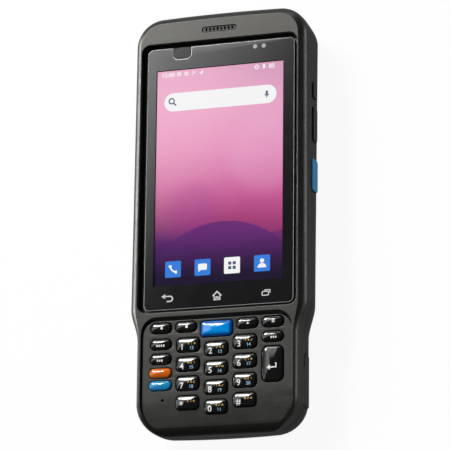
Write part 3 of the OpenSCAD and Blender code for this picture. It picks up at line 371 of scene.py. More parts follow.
def soften(points, share, steps=4):
    """The same open line with its inner corners rounded by a share of their shorter side."""
    made = [Vector(points[0])]
    for before, corner, after in zip(points, points[1:], points[2:]):
        before, corner, after = Vector(before), Vector(corner), Vector(after)
        reach = share * min((before - corner).length, (after - corner).length)
        start = corner + (before - corner).normalized() * reach
        end = corner + (after - corner).normalized() * reach
        for i in range(steps + 1):
            t = i / steps
            made.append(start * (1 - t) ** 2 + corner * 2 * t * (1 - t) + end * t * t)
    return made + [Vector(points[-1])]


def front_skin():
    """The outside of the front casing: the groove at the seam, then the facetted shoulder."""
    groove = [(seam_groove, 0.0), (seam_groove, groove_edge_h), (0.0, groove_top_h)]
    corners = []
    for w, lip, share, facets in (
            (head_shoulder_w, 0.35, 0.42, ((0.03, 0.57), (0.26, 0.74), (0.52, 0.86), (1, 1))),
            (grip_shoulder_w, 0.30, 0.46, ((0.05, 0.43), (0.28, 0.71), (0.60, 0.89), (1, 1)))):
        shoulder = [(w * inset, front_h * rise) for inset, rise in facets]
        corners.append(soften(groove + shoulder + [(w + lip, front_h)], share))
    rings = []
    for head, grip in zip(*corners):
        rings.append([])
        for p, n in zip(outline, normals):
            inset, rise = [mix(g, h, head_share(p[1])) for g, h in zip(grip, head)]
            rings[-1].append((p[0] - n.x * inset, p[1] - n.y * inset, seam_z + rise))
    return loft("front_casing", rings)


def rounded_rect(w, l, r, x=0.0, y=0.0, steps=8):
    """A rectangle round x, y with rounded corners."""
    points = []
    for start, sx, sy in ((-90, 1, -1), (0, 1, 1), (90, -1, 1), (180, -1, -1)):
        points += arc(x + sx * (w / 2 - r), y + sy * (l / 2 - r), r, start, start + 90, steps)
    return points


def disc(r, x=0.0, y=0.0, steps=48):
    return arc(x, y, r, 0, 360, steps)[:-1]


def laid(points, z, share=1.0):
    """A flat outline laid at a height, at a share of its size."""
    return [(x * share, y * share, z) for x, y in points]


def cutter(shape, low, high, rim=0.0, turn=None):
    """What a tool takes away: a prism of shape(grow), its mouth at high opened by a rounded rim."""
    levels = [(low, 0.0)]
    for i in range(5 if rim else 0):
        a = math.radians(90 * i / 4)
        levels.append((high - rim * (1 - math.sin(a)), rim * (1 - math.cos(a))))
    levels.append((high + (1.5 if rim else 0.0), rim))
    made = loft("cutter", [laid(shape(grow), z) for z, grow in levels])
    if turn:
        made.data.transform(turn)
        if turn.determinant() < 0:
            made.data.flip_normals()
    return made


def hole(points, low, high):
    return cutter(lambda grow: points, low, high)


def pocket(w, l, r, x, y, depth, rim, turn, mouth):
    """A rounded pocket with a rounded rim, sunk from its mouth into the face that the turn points at."""
    return cutter(lambda grow: rounded_rect(w + 2 * grow, l + 2 * grow, r + grow, x, y),
                  mouth - depth, mouth, rim, turn)


def plain(piece):
    """The piece with its modifiers taken into its mesh."""
    bpy.context.view_layer.update()
    shaped = piece.evaluated_get(bpy.context.evaluated_depsgraph_get())
    mesh = bpy.data.meshes.new_from_object(shaped)
    piece.modifiers.clear()
    piece.data = mesh
    return piece


def clean(piece, reach=0.002):
    """Joins points that coincide and dissolves slivers."""
    work = bmesh.new()
    work.from_mesh(piece.data)
    bmesh.ops.remove_doubles(work, verts=work.verts, dist=reach * MM)
    bmesh.ops.dissolve_degenerate(work, edges=work.edges, dist=reach * MM)
    work.to_mesh(piece.data)
    work.free()
    return piece


def smoothed(piece, angle=32):
    """Smooth shading up to a corner of so many degrees, with flats kept flat."""
    piece.data.polygons.foreach_set("use_smooth", [True] * len(piece.data.polygons))
    piece.data.set_sharp_from_angle(angle=math.radians(angle))
    weigh = piece.modifiers.new("even", "WEIGHTED_NORMAL")
    weigh.keep_sharp = True
    return plain(piece)


def cut(piece, cutters, angle=32):
    """Takes the cutters away from the piece."""
    tools = bpy.data.collections.new("tools")
    bpy.context.scene.collection.children.link(tools)
    for tool in cutters:
        tools.objects.link(tool)
    carve = piece.modifiers.new("carve", "BOOLEAN")
    carve.operation = "DIFFERENCE"
    carve.solver = "EXACT"
    carve.use_self = True
    carve.operand_type = "COLLECTION"
    carve.collection = tools
    plain(piece)
    for tool in cutters:
        bpy.data.meshes.remove(tool.data)
    bpy.data.collections.remove(tools)
    return smoothed(clean(piece), angle)


def panel_outline(grow):
    """The keypad panel's edge: small corners above, wide ones below."""
    low_r, top_r = panel_bottom_r + grow, panel_top_r + grow
    low_y, top_y = panel_end_y - grow + low_r, panel_top_y + grow - top_r
    points = []
    for start, sx, y, r in ((-90, 1, low_y, low_r), (0, 1, top_y, top_r), (90, -1, top_y, top_r),
                            (180, -1, low_y, low_r)):
        points += arc(sx * (panel_half + grow - r), y, r, start, start + 90, 16)
    return points


def slope_cutter():
    """The slope from the rim down to the panel's top edge."""
    y = panel_top_y - panel_top_r
    rings = []
    for z, rise in ((panel_z - 0.02, 0.0), (body_t + 1.2, 2 * slope_l)):
        ring = [(-panel_half, y - 2 * panel_top_r), (panel_half, y - 2 * panel_top_r)]
        for sx, start in ((1, 0), (-1, 90)):
            ring += arc(sx * (panel_half - panel_top_r), y + rise, panel_top_r, start, start + 90, 16)
        rings.append(laid(ring, z))
    return loft("cutter", rings)


def side_cutter(points):
    """What a tool takes away right across the casing, through (y, z) points of its side view."""
    return loft("cutter", [[(x, y, z) for y, z in points[::-1]] for x in (40, -40)])


def foot_cutter():
    """What rounds the front edge at the bottom end."""
    points = [(-half_l - 2, body_t - foot_round_r)]
    for i in range(33):
        a = math.radians(180 - 90 * i / 32)
        out, up = abs(math.cos(a)) ** (2 / foot_squareness), math.sin(a) ** (2 / foot_squareness)
        points.append((foot_round_l * (1 - out) - half_l, body_t - foot_round_r * (1 - up)))
    return side_cutter(points + [(foot_round_l - half_l, body_t + 2), (-half_l - 2, body_t + 2)])


def roll_cutter(top_z):
    """What lets a flat face fall away gently towards the bottom end."""
    points = [(y, top_z - (roll_start_y - y) ** 2 / (2 * roll_r))
              for y in (mix(-half_l - 2, roll_start_y, i / 24) for i in range(25))]
    return side_cutter(points + [(roll_start_y, body_t + 3), (-half_l - 2, body_t + 3)])


def key_well():
    """The opening for the keys behind the panel, narrower below the shift keys."""
    wide, low = panel_half - well_margin, panel_half - well_foot_margin
    top, step, end = panel_top_y - 0.25, extent("key_shift_blue")[0].y - 0.2, extent("key_0")[0].y - 1.1
    return [(-low, end), (low, end), (low, step), (wide, step), (wide, top), (-wide, top),
            (-wide, step), (-low, step)]


glass_l = glass_high.y - glass_low.y
pocket_corner_r = 3.4
front_wall = 3.3
gasket_z = extent("display_gasket")[0].z
panel_seat_z = panel_low.z
grille_low, grille_high = extent("earpiece_grille")
ear_y = middle("earpiece_grille")[1]
ear_w = grille_high.x - grille_low.x + 0.2
ear_l = grille_high.y - grille_low.y + 0.2
ceiling_z = extent("keypad_mat")[0].z + 0.8
display_low, display_high = extent("display_module")

front_casing = cut(front_skin(), [
    foot_cutter(),
    roll_cutter(body_t),
    slope_cutter(),
    pocket(2 * (glass_high.x + side_channel), glass_l + 2 * glass_channel, pocket_corner_r, 0, screen_y,
           body_t - gasket_z, 0.4, None, body_t),
    cutter(panel_outline, panel_seat_z, body_t, 0.22),
    hole(key_well(), seam_z - 1, body_t),
    hole(rounded_rect(display_high.x * 2 + 0.4, display_high.y - display_low.y + 0.4, 1, 0, screen_y),
         seam_z - 1, body_t),
    hole(inner_outline(front_wall), seam_z - 1, ceiling_z),
    pocket(ear_w, ear_l, ear_l / 2 - 0.01, 0, ear_y, body_t - grille_low.z + 0.01, 0.25, None, body_t),
])


def new_finish(name):
    """A material, its tree, and the place on the piece that its textures follow."""
    material = bpy.data.materials.new(name)
    tree = new_tree(material)
    return material, tree, node(tree, "ShaderNodeTexCoord", out="Object")


def noise(place, size, detail=2.0):
    """Noise with grains of about the given size in millimetres."""
    return node(place.tree, "ShaderNodeTexNoise", {"Vector": place, "Scale": 1 / (size * MM),
                "Detail": detail})


def blend(share, first, second):
    return node(share.tree, "ShaderNodeMix", {0: share, 6: first, 7: second}, 2, data_type="RGBA")


def tint(colour, factor=1.0):
    return tuple(min(1.0, c * factor) for c in colour) + (1.0,)


def relief(height, depth):
    """A bump from a height of 0 to 1, its full depth in millimetres."""
    return node(height.tree, "ShaderNodeBump", {"Height": height, "Distance": depth * MM})


def surface(tree, **sockets):
    """The material's shader, with its sockets given by name."""
    named = {name.replace("_", " "): value for name, value in sockets.items()}
    node(tree, "ShaderNodeOutputMaterial", {"Surface": node(tree, "ShaderNodeBsdfPrincipled", named)})


def moulded(name, colour, rough, grain=0.8, depth=0.025):
    """Moulded plastic or rubber: an eroded grain, a faint flow of tone and a rub of gloss."""
    material, tree, place = new_finish(name)
    pits = noise(place, grain, 3.0)
    flow = noise(place, 14.0)
    rub = noise(place, 5.0, 4.0)
    tone = smooth_step(flow * 0.7 + pits * 0.3, 0.3, 0.7)
    # The sheen is tinted warm: painted warm light, not a colour of the plastic.
    surface(tree, Base_Color=blend(tone, tint(colour, 0.88), tint(colour, 1.12)),
            Roughness=rough + (rub - 0.5) * 0.16 + (pits - 0.5) * 0.1, Specular_IOR_Level=0.4,
            Specular_Tint=(1.0, 0.985, 0.92, 1), Normal=relief(pits, depth))
    return material


def dress(piece, material, body, slot, *nodes):
    """Gives a piece its finish and its body, and hides the nodes that it stands for. The slot is not
    used.
    """
    piece.data.materials.clear()
    piece.data.materials.append(material)
    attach(piece, body)
    if nodes:
        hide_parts(*nodes)
    return piece


casing_grey = moulded("casing_grey_nylon", (0.010, 0.010, 0.0095), 0.33)
dress(front_casing, casing_grey, "casing", "casing_grey", "front_case")

# ---- Glass and display ----
# Toughened cover glass, printed black from behind round the picture, bonded on a foam gasket in its
# pocket. The picture of the display is lit from behind, with its signs a hair above it.
notch_low, notch_high = extent("front_camera_window")
camera_x = middle("front_camera_window")[0]
notch_half = (notch_high.x - notch_low.x) / 2 + 0.1
notch_end = notch_low.y - 0.1
notch_chamfer = 1.3
picture_half = 25.92
picture_l = 86.4
picture_x = -0.38
picture_y = screen_y + 0.3
glass_corner_r = 2.2
glass_rim = 0.36
# The upper rim slopes of the glass, by the height of their normal, that are painted pale as a painted
# highlight.
painted_rim_from, painted_rim_to = 0.3, 0.97
picture_z = glass_low.z


def glass_outline():
    """The glass with rounded corners and the chamfered notch for the camera window."""
    ring = rounded_rect(2 * glass_high.x, glass_l, glass_corner_r, 0, screen_y)
    top = glass_high.y
    notch = [(notch_half, top), (notch_half, notch_end + notch_chamfer),
             (notch_half - notch_chamfer, notch_end), (notch_chamfer - notch_half, notch_end),
             (-notch_half, notch_end + notch_chamfer), (-notch_half, top)]
    first_left = next(i for i, p in enumerate(ring) if p[1] >= top - 0.001 and p[0] < 0)
    return ring[:first_left] + [(camera_x + x, y) for x, y in notch] + ring[first_left:]


def rimmed_plate(name, outlines, low, high, rim):
    """A flat piece from low to high with rounded rims along its edge and round its holes."""
    curve = bpy.data.curves.new(name, "CURVE")
    curve.dimensions = "2D"
    curve.fill_mode = "BOTH"
    curve.extrude = ((high - low) / 2 - rim) * MM
    curve.bevel_depth = rim * MM
    curve.bevel_resolution = 3
    curve.offset = -rim * MM
    for points in outlines:
        spline = curve.splines.new("POLY")
        spline.points.add(len(points) - 1)
        for point, (x, y) in zip(spline.points, points):
            point.co = (x * MM, y * MM, 0, 1)
        spline.use_cyclic_u = True
    drawn = link(name + "_outline", curve)
    bpy.context.view_layer.update()
    shaped = drawn.evaluated_get(bpy.context.evaluated_depsgraph_get())
    mesh = bpy.data.meshes.new_from_object(shaped)
    bpy.data.objects.remove(drawn)
    bpy.data.curves.remove(curve)
    mesh.transform(Matrix.Translation((0, 0, (low + high) / 2 * MM)))
    return smoothed(clean(link(name, mesh), 0.0005))


touch_glass = rimmed_plate("cover_glass", [glass_outline()], picture_z + 0.06, glass_top_z, glass_rim)


def outside(across, along, x, y, half_w, half_l, soft_x=0.04, soft_y=0.04):
    """1 outside a soft-edged rectangle round x, y, 0 inside, in millimetres."""
    wide = smooth_step(abs(across - x * MM), (half_w - soft_x) * MM, (half_w + soft_x) * MM)
    long = smooth_step(abs(along - y * MM), (half_l - soft_y) * MM, (half_l + soft_y) * MM)
    return wide.larger(long)


glass_finish, tree, place = new_finish("printed_cover_glass")
glass_finish.surface_render_method = "BLENDED"
across, along = axis_of(place, "X"), axis_of(place, "Y")
border = outside(across, along, picture_x, picture_y, picture_half, picture_l / 2)
smears = noise(place, 9.0, 3.0)
surface(tree, Base_Color=blend(smears, (0.004, 0.004, 0.005, 1), (0.007, 0.007, 0.008, 1)),
        Roughness=0.04 + smears * 0.05, Specular_IOR_Level=0.9, Alpha=0.05 + border * 0.95)
dress(touch_glass, glass_finish, "casing", "touch_glass", "touch_glass")
# The glass's rounded upper rim is painted a mottled pale grey: a painted highlight in place of the light
# that the polished rim reflects.
rim_highlight_paint, tree, place = new_finish("ground_glass_edge")
rim_highlight_mottle = noise(place, 2.0, 3.0)
surface(tree, Base_Color=blend(rim_highlight_mottle, (0.62, 0.63, 0.64, 1), (0.85, 0.86, 0.87, 1)),
        Roughness=0.25 + rim_highlight_mottle * 0.2)
touch_glass.data.materials.append(rim_highlight_paint)
for face in touch_glass.data.polygons:
    if painted_rim_from < face.normal.z < painted_rim_to:
        face.material_index = 1

display_finish, tree, place = new_finish("lit_picture")
across = (axis_of(place, "X") - picture_x * MM) / (picture_l * MM)
along = (axis_of(place, "Y") - picture_y * MM) / (picture_l * MM)
sway = noise(place, 60.0, 1.0) - 0.5
climb = along + 0.5 + across * 0.12 + sway * 0.06
sky = node(tree, "ShaderNodeValToRGB", {0: climb}, stops=[
    (0.0, (0.02, 0.004, 0.05, 1)), (0.16, (0.08, 0.01, 0.13, 1)), (0.30, (0.40, 0.05, 0.20, 1)),
    (0.42, (0.62, 0.11, 0.33, 1)), (0.60, (0.80, 0.25, 0.50, 1)), (0.85, (0.86, 0.40, 0.62, 1)),
    (1.0, (0.72, 0.36, 0.55, 1))])


def glow(x, y, reach, soft):
    """A soft disc in the picture: 1 inside. Its place and size are shares of the picture's length."""
    dx, dy = across - x, along - y
    return 1 - smooth_step((dx * dx + dy * dy) ** 0.5, reach - soft, reach + soft)


hill = blend(smooth_step(along, -0.48, -0.24), (0.008, 0.003, 0.024, 1), (0.12, 0.02, 0.18, 1))
picture = sky
for disc_place, share, colour in (((-0.34, 0.42, 0.44, 0.34), 0.65, (1.0, 0.52, 0.70, 1)),
                                  ((0.22, 0.08, 0.17, 0.06), 0.16, (0.95, 0.62, 0.80, 1)),
                                  ((-0.12, -0.16, 0.12, 0.06), 0.24, (0.35, 0.02, 0.30, 1)),
                                  ((0.02, -0.62, 0.40, 0.003), 0.85, hill),
                                  ((0.30, -0.52, 0.24, 0.003), 0.55, hill)):
    picture = blend(glow(*disc_place) * share, picture, colour)
border = outside(across * picture_l * MM, along * picture_l * MM, 0, 0, picture_half, picture_l / 2)
surface(tree, Base_Color=(0.01, 0.01, 0.01, 1), Roughness=0.4, Specular_IOR_Level=0.0,
        Emission_Color=blend(border, picture, (0.0, 0.0, 0.0, 1)), Emission_Strength=1.0)


def finish(material, *names):
    """Gives a finish to pieces whose shape needs nothing more."""
    for name in names:
        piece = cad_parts[name]
        piece.data.materials.clear()
        piece.data.materials.append(material)


finish(display_finish, "display_module")


def strip(points, width, closed=False):
    """A drawn line of even width, as quads side by side."""
    count = len(points)
    lefts, rights = [], []
    for i, p in enumerate(points):
        before = Vector(points[i - 1] if closed or i else p)
        after = Vector(points[(i + 1) % count] if closed or i < count - 1 else p)
        one = (Vector(p) - before).normalized() if before != Vector(p) else None
        two = (after - Vector(p)).normalized() if after != Vector(p) else None
        one, two = one or two, two or one
        bend = (one + two).normalized()
        reach = width / 2 / max(0.5, bend.dot(one))
        lefts.append((p[0] - bend.y * reach, p[1] + bend.x * reach))
        rights.append((p[0] + bend.y * reach, p[1] - bend.x * reach))
    last = count if closed else count - 1
    return [[rights[i], rights[(i + 1) % count], lefts[(i + 1) % count], lefts[i]]
            for i in range(last)]


def shifted(faces, x, y, size=1.0):
    """A drawn sign set down at x, y."""
    return [[(x + size * p[0], y + size * p[1]) for p in face] for face in faces]


capital_share = 0.70


def letters(text, height, x, y, bold=0.0):
    """Plain type of the given capital height, its middle at x, y, as flat faces."""
    font = bpy.data.curves.new("type", "FONT")
    font.body = text
    font.size = height / capital_share
    font.align_x = "CENTER"
    font.resolution_u = 3
    font.offset = bold
    drawn = link("type", font)
    bpy.context.view_layer.update()
    mesh = bpy.data.meshes.new_from_object(drawn.evaluated_get(bpy.context.evaluated_depsgraph_get()))
    bpy.data.objects.remove(drawn)
    bpy.data.curves.remove(font)
    faces = [[mesh.vertices[v].co.xy for v in f.vertices] for f in mesh.polygons]
    faces = shifted(faces, x, y - height / 2)
    bpy.data.meshes.remove(mesh)
    return faces


def printed(name, faces, height_at, thickness=0.03, sunk=0.02, cell=0.0):
    """A thin layer of ink on a surface, whose height in millimetres height_at(x, y) gives. On a curved
    surface its faces are first cut into cells."""
    work = bmesh.new()
    for face in faces:
        work.faces.new([work.verts.new((p[0], p[1], 0)) for p in face])
    bmesh.ops.remove_doubles(work, verts=work.verts, dist=0.002)
    bmesh.ops.recalc_face_normals(work, faces=work.faces)
    for face in work.faces:
        if face.normal.z < 0:
            face.normal_flip()
    if cell:
        for axis in (Vector((1, 0, 0)), Vector((0, 1, 0))):
            reaches = [v.co.dot(axis) for v in work.verts]
            place = math.floor(min(reaches) / cell) * cell + cell
            while place < max(reaches):
                bmesh.ops.bisect_plane(work, geom=work.verts[:] + work.edges[:] + work.faces[:],
                                       plane_co=axis * place, plane_no=axis, dist=0.0005)
                place += cell
    made = bmesh.ops.extrude_face_region(work, geom=work.faces[:], use_keep_orig=True)
    tops = {v for v in made["geom"] if isinstance(v, bmesh.types.BMVert)}
    for vert in work.verts:
        ground = height_at(vert.co.x, vert.co.y)
        vert.co.z = ground + (thickness if vert in tops else -sunk)
    for face in work.faces:
        if all(v not in tops for v in face.verts):
            face.normal_flip()
    bmesh.ops.recalc_face_normals(work, faces=work.faces)
    bmesh.ops.scale(work, verts=work.verts, vec=(MM, MM, MM))
    mesh = bpy.data.meshes.new(name)
    work.to_mesh(mesh)
    work.free()
    return link(name, mesh)


def lit(name, colour):
    """A sign of the display: the display's own light in one colour, faintly uneven."""
    material, tree, place = new_finish(name)
    cells = noise(place, 0.6)
    surface(tree, Base_Color=(0.02, 0.02, 0.02, 1), Roughness=0.4, Specular_IOR_Level=0.0,
            Emission_Strength=1.0, Emission_Color=blend(cells, tint(colour, 0.96), tint(colour)))
    return material


def ink(name, colour, rough=0.45):
    """Pad-printed ink: a flat colour, a little thinner in places."""
    material, tree, place = new_finish(name)
    thin = noise(place, 0.25, 3.0)
    surface(tree, Base_Color=blend(thin, tint(colour, 0.82), tint(colour, 1.05)),
            Roughness=rough + (thin - 0.5) * 0.2, Normal=relief(thin, 0.004))
    return material


def flat_at(z):
    """The ground of a print on a flat face, as printed() asks for it."""
    return lambda x, y: z


white_light = lit("white_sign", (1.0, 1.0, 1.0))
blue_light = lit("blue_tile", (0.03, 0.22, 0.78))
dark_light = lit("dark_sign", (0.06, 0.10, 0.20))
app_x = (-18.65, -6.69, 5.19, 17.19)
app_y = screen_y - 36.35
app_side = 6.4
search_y = screen_y + 30.6
search_w, search_h = 45.8, 7.4
status_y = screen_y + 41.9
status_h = 1.75
tiles = [rounded_rect(app_side, app_side, 0.5, x, app_y, 4) for x in app_x]
search_bar = [rounded_rect(search_w, search_h, 3.65, picture_x, search_y, 12), tiles.pop(2)]

handset = strip(arc(1.5, 1.5, 2.9, 190, 260, 10), 0.62)
handset += [rounded_rect(1.2, 0.9, 0.2, -1.35, 1.05, 2), rounded_rect(0.9, 1.2, 0.2, 1.0, -1.35, 2)]
bubble = [rounded_rect(3.6, 2.5, 0.5, 0, 0.2, 3), [(-1.6, -0.8), (-0.5, -0.9), (-1.6, -1.8)]]
person = [disc(0.85, 0, 1.0, 16), arc(0, -1.7, 1.75, 0, 180, 14)]
signs = (shifted(handset, app_x[0] + 0.2, app_y + 0.2) + shifted(bubble, app_x[1], app_y)
         + shifted(person, app_x[3], app_y))
bars = [[(-0.75, -0.6), (0.75, -0.6), (0.75, 0.9)]]
cell_sign = [rounded_rect(0.95, 1.7, 0.15, 0, 0, 2), rounded_rect(0.4, 0.3, 0.1, 0, 0.95, 2)]
ring = strip(arc(0, 0, 0.62, 0, 360, 16)[:-1], 0.42, True)
cross = strip([(-0.7, -0.7), (0.7, 0.7)], 0.3) + strip([(-0.7, 0.7), (-0.2, 0.2)], 0.3)
diamond = strip([(0.85, 0), (0, 0.85), (-0.85, 0), (0, -0.85)], 0.34, True)
for x, sign in ((-21.9, letters("12:00", status_h, 0, 0, 0.04)), (-17.4, ring), (-14.4, ring),
                (-11.3, cross), (-8.3, bars), (14.4, diamond), (17.4, cell_sign),
                (20.6, letters("85", status_h, 0, 0, 0.04))):
    signs += shifted(sign, x, status_y)
magnifier = strip(arc(-0.3, 0.3, 1.05, 0, 360, 24)[:-1], 0.5, True)
magnifier += strip([(0.5, -0.5), (1.55, -1.55)], 0.55)
microphone = [rounded_rect(0.95, 2.0, 0.45, 0, 0.55, 4)]
microphone += strip(arc(0, 0.35, 1.0, 190, 350, 10), 0.32) + strip([(0, -0.7), (0, -1.7)], 0.34)
grid = [rounded_rect(1.25, 1.25, 0.2, x, y, 2) for x in (-0.9, 0.9) for y in (-0.9, 0.9)]
dark_signs = (shifted(magnifier, -20.0, search_y + 0.2) + shifted(microphone, 18.6, search_y, 0.9)
              + shifted(grid, app_x[2], app_y))
for name, faces, rise, light in (("app_tiles", tiles, 0.0, blue_light),
                                 ("search_bar", search_bar, 0.0, white_light),
                                 ("white_signs", signs, 0.02, white_light),
                                 ("dark_signs", dark_signs, 0.02, dark_light)):
    dress(printed(name, faces, flat_at(picture_z + rise)), light, "casing", "display")

# ---- Touch signs and windows in the glass ----
# Back, home and recent signs in pale grey print on the border of the glass, two pale spots over the
# light sensors, and the small camera window in the glass's notch.
pale_ink = ink("pale_border_print", (0.62, 0.62, 0.62))
touch_y = screen_y - 48.1
back_sign = strip([(-1.1, 0.75), (1.1, 0.75)] + arc(1.1, -0.25, 1.0, 90, -90, 8)[1:] + [(-0.2, -1.25)],
                  0.5)
back_sign.append([(-2.4, 0.75), (-0.9, -0.2), (-0.9, 1.7)])
home_sign = strip([(-1.75, -0.1), (0, 1.6), (1.75, -0.1)], 0.5)
home_sign += strip([(-1.15, 0.2), (-1.15, -1.55), (-0.4, -1.55), (-0.4, -0.5), (0.4, -0.5), (0.4, -1.55),
                    (1.15, -1.55), (1.15, 0.2)], 0.42)
recent_sign = strip(rounded_rect(2.5, 1.5, 0.25, -0.35, -0.35, 2), 0.36, True)
recent_sign += strip([(-0.7, 0.95), (1.5, 0.95), (1.5, -0.3)], 0.36)
touch_signs = (shifted(back_sign, -20.4, touch_y + 0.2) + shifted(home_sign, -0.33, touch_y)
               + shifted(recent_sign, 19.3, touch_y))
dress(printed("touch_signs", touch_signs, flat_at(glass_top_z), 0.012), pale_ink, "casing",
      "touch_glass")
sensor_x, sensor_y = middle("proximity_sensor")[:2]
spots = [disc(0.85, sensor_x + x, sensor_y, 24) for x in (-1.75, 1.75)]
dress(printed("sensor_spots", spots, flat_at(glass_top_z), 0.01),
      ink("sensor_spot", (0.30, 0.31, 0.31), 0.3), "casing", "module_black")


def gloss(name, colour, rough=0.12, uneven=0.15):
    """Polished plastic: deep and even, with a faint orange peel."""
    material, tree, place = new_finish(name)
    peel = noise(place, 1.6)
    flow = noise(place, 4.0)
    surface(tree, Base_Color=blend(flow, tint(colour, 1 - uneven), tint(colour, 1 + uneven)),
            Roughness=rough + (flow - 0.5) * 0.05, Normal=relief(peel, 0.012))
    return material


def rounded_off(name, node_name, width, material, body, slot, steps=3):
    """A node's own mesh in its place, its loose triangles joined and its edges rounded off."""
    made = link(name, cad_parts[node_name].data.copy())
    work = bmesh.new()
    work.from_mesh(made.data)
    bmesh.ops.remove_doubles(work, verts=work.verts, dist=0.001 * MM)
    bmesh.ops.dissolve_limit(work, verts=work.verts, edges=work.edges, angle_limit=math.radians(1))
    work.to_mesh(made.data)
    work.free()
    for attribute in [a for a in made.data.attributes if a.name == "custom_normal"]:
        made.data.attributes.remove(attribute)
    made.data.polygons.foreach_set("use_smooth", [True] * len(made.data.polygons))
    made.data.set_sharp_from_angle(angle=math.radians(30))
    round_off = made.modifiers.new("round_off", "BEVEL")
    round_off.width = width * MM
    round_off.segments = steps
    round_off.limit_method = "ANGLE"
    round_off.angle_limit = math.radians(35)
    round_off.harden_normals = True
    return dress(plain(made), material, body, slot, node_name)


window_black = gloss("camera_window_black", (0.010, 0.010, 0.011), 0.08)
rounded_off("front_camera_cover", "front_camera_window", 0.15, window_black, "casing", "camera_window")

# ---- Earpiece ----
# A small moulded grille with a row of slots in it, pressed into the front above the glass. Matt black
# nylon, a little coarser than the casing.
grille_slots = 8
slot_pitch = (ear_w - 1.9) / grille_slots
grille_outlines = [rounded_rect(ear_w - 0.2, ear_l - 0.2, ear_l / 2 - 0.12, 0, ear_y)]
grille_outlines += [rounded_rect(0.75, 1.05, 0.3, (i - (grille_slots - 1) / 2) * slot_pitch, ear_y, 4)
                    for i in range(grille_slots)]
grille = rimmed_plate("earpiece_slots", grille_outlines, grille_low.z, grille_high.z, 0.1)
grille_black = moulded("grille_black", (0.02, 0.02, 0.02), 0.5, 0.2, 0.01)
dress(grille, grille_black, "casing", "grille", "earpiece_grille")

# ---- Keypad panel ----
# A separate moulded plate, a shade greyer than the casing, that holds the keys by their rims. It has
# an opening for each key and a small one for the microphone.
key_gap = 0.2
key_rim = 0.4
wide_key = 9.1
key_corners = {"key_scan": 1.5, "key_enter": 2.2}
key_shapes = {}
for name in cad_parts:
    if name.startswith("key_"):
        low, high = extent(name)
        w, l = high.x - low.x - 2 * key_rim, high.y - low.y - 2 * key_rim
        r = 1.7 if w > wide_key else l / 2 - 0.05
        x, y = middle(name)[:2]
        key_shapes[name] = (x, y, w, l, key_corners.get(name, r))
mic_x, mic_y = -21.4, extent("key_shift_blue")[0].y - 3.3
panel_holes = [rounded_rect(w + 2 * key_gap, l + 2 * key_gap, r + key_gap, x, y)
               for x, y, w, l, r in key_shapes.values()]
panel_edge = panel_outline(-0.1)
panel = rimmed_plate("keypad_plate", [panel_edge] + panel_holes + [disc(0.5, mic_x, mic_y, 20)],
                     panel_seat_z, panel_z, 0.22)
cut(panel, [foot_cutter(), roll_cutter(panel_z)])
panel_grey = moulded("panel_grey_nylon", (0.013, 0.013, 0.0125), 0.33)
dress(panel, panel_grey, "casing", "panel_grey", "keypad_panel")

# ---- Keypad keys ----
# Hard caps of glossy black plastic, crowned both ways and rounded over at the edge, each on its own
# plunger over the rubber mat. The shift caps are orange and blue. The scan cap is a deeper blue at its
# rim that pales towards its middle: painted shade round the rim and painted light in the middle.
key_crown = 0.35
widest_round = 0.95
plunger_w, plunger_r, plunger_h = 2.6, 1.25, 0.2
rim_t = 0.7
mark_t, mark_sunk, mark_cell = 0.02, 0.03, 0.5
key_top_z = extent("key_5")[1].z
key_foot_z = extent("key_5")[0].z
key_black = gloss("key_black", (0.006, 0.006, 0.006), 0.07)
scan_x, scan_y, scan_w, scan_l = key_shapes["key_scan"][:4]
scan_cap, tree, place = new_finish("scan_blue_cap")
# Painted shade and light on the scan cap: a deeper blue towards its rim, a paler blue in its middle.
scan_rim_painted_shade = outside(axis_of(place, "X"), axis_of(place, "Y"), scan_x, scan_y, scan_w / 2 - 1.3,
                    scan_l / 2 - 1.2, 0.6, 0.5)
surface(tree, Base_Color=blend(scan_rim_painted_shade, (0.0, 0.25, 0.72, 1), (0.0, 0.07, 0.30, 1)),
        Roughness=0.07, Normal=relief(noise(place, 1.6), 0.012))
key_colours = {"key_scan": scan_cap,
               "key_shift_orange": gloss("orange_cap", (0.56, 0.11, 0.004), 0.08),
               "key_shift_blue": gloss("blue_cap", (0.012, 0.22, 0.46), 0.08)}
key_slots = {"key_scan": "scan_blue", "key_shift_orange": "shift_orange", "key_shift_blue": "shift_blue",
             "key_enter": "enter_black"}


def crown_at(shape, round_off):
    """The height of a cap's top over its place, with its edge rounded over."""
    cx, cy, w, l, r = shape
    radius_x = w * w / (8 * key_crown) + key_crown / 2
    radius_y = l * l / (8 * key_crown) + key_crown / 2

    def height(x, y):
        dx, dy = abs(x - cx), abs(y - cy)
        ex, ey = max(0.0, dx - (w / 2 - r)), max(0.0, dy - (l / 2 - r))
        inside = r - math.hypot(ex, ey) if ex and ey else min(w / 2 - dx, l / 2 - dy)
        over = clamp(1 - inside / round_off)
        fall = round_off * (1 - math.sqrt(max(0.0, 1 - over * over)))
        return key_top_z - dx * dx / (2 * radius_x) - dy * dy / (2 * radius_y) - fall

    return height


def key_cap(name, shape):
    """The cap from its plunger and its rim up to the crowned top."""
    cx, cy, w, l, r = shape
    round_off = min(widest_round, l * 0.2)
    height = crown_at(shape, round_off)
    rim_z = key_foot_z + plunger_h
    rim_top_z = rim_z + rim_t
    plunger = rounded_rect(plunger_w, plunger_w, plunger_r, cx, cy, 6)
    rings = [laid(plunger, z) for z in (key_foot_z, rim_z)]
    for z, grow in ((rim_z, key_rim), (rim_top_z, key_rim), (rim_top_z, 0.0)):
        rings.append(laid(rounded_rect(w + 2 * grow, l + 2 * grow, r + grow, cx, cy, 6), z))
    levels = []
    for i in range(9):
        inset = round_off * (1 - math.cos(math.radians(90 * i / 8)))
        levels.append(rounded_rect(w - 2 * inset, l - 2 * inset, max(0.05, r - inset), cx, cy, 6))
    for share in (0.8, 0.6, 0.4, 0.2):
        levels.append([(mix(cx, x, share), mix(cy, y, share)) for x, y in levels[8]])
    rings += [[(x, y, height(x, y)) for x, y in ring] for ring in levels]
    return smoothed(loft(name + "_cap", rings), 40)


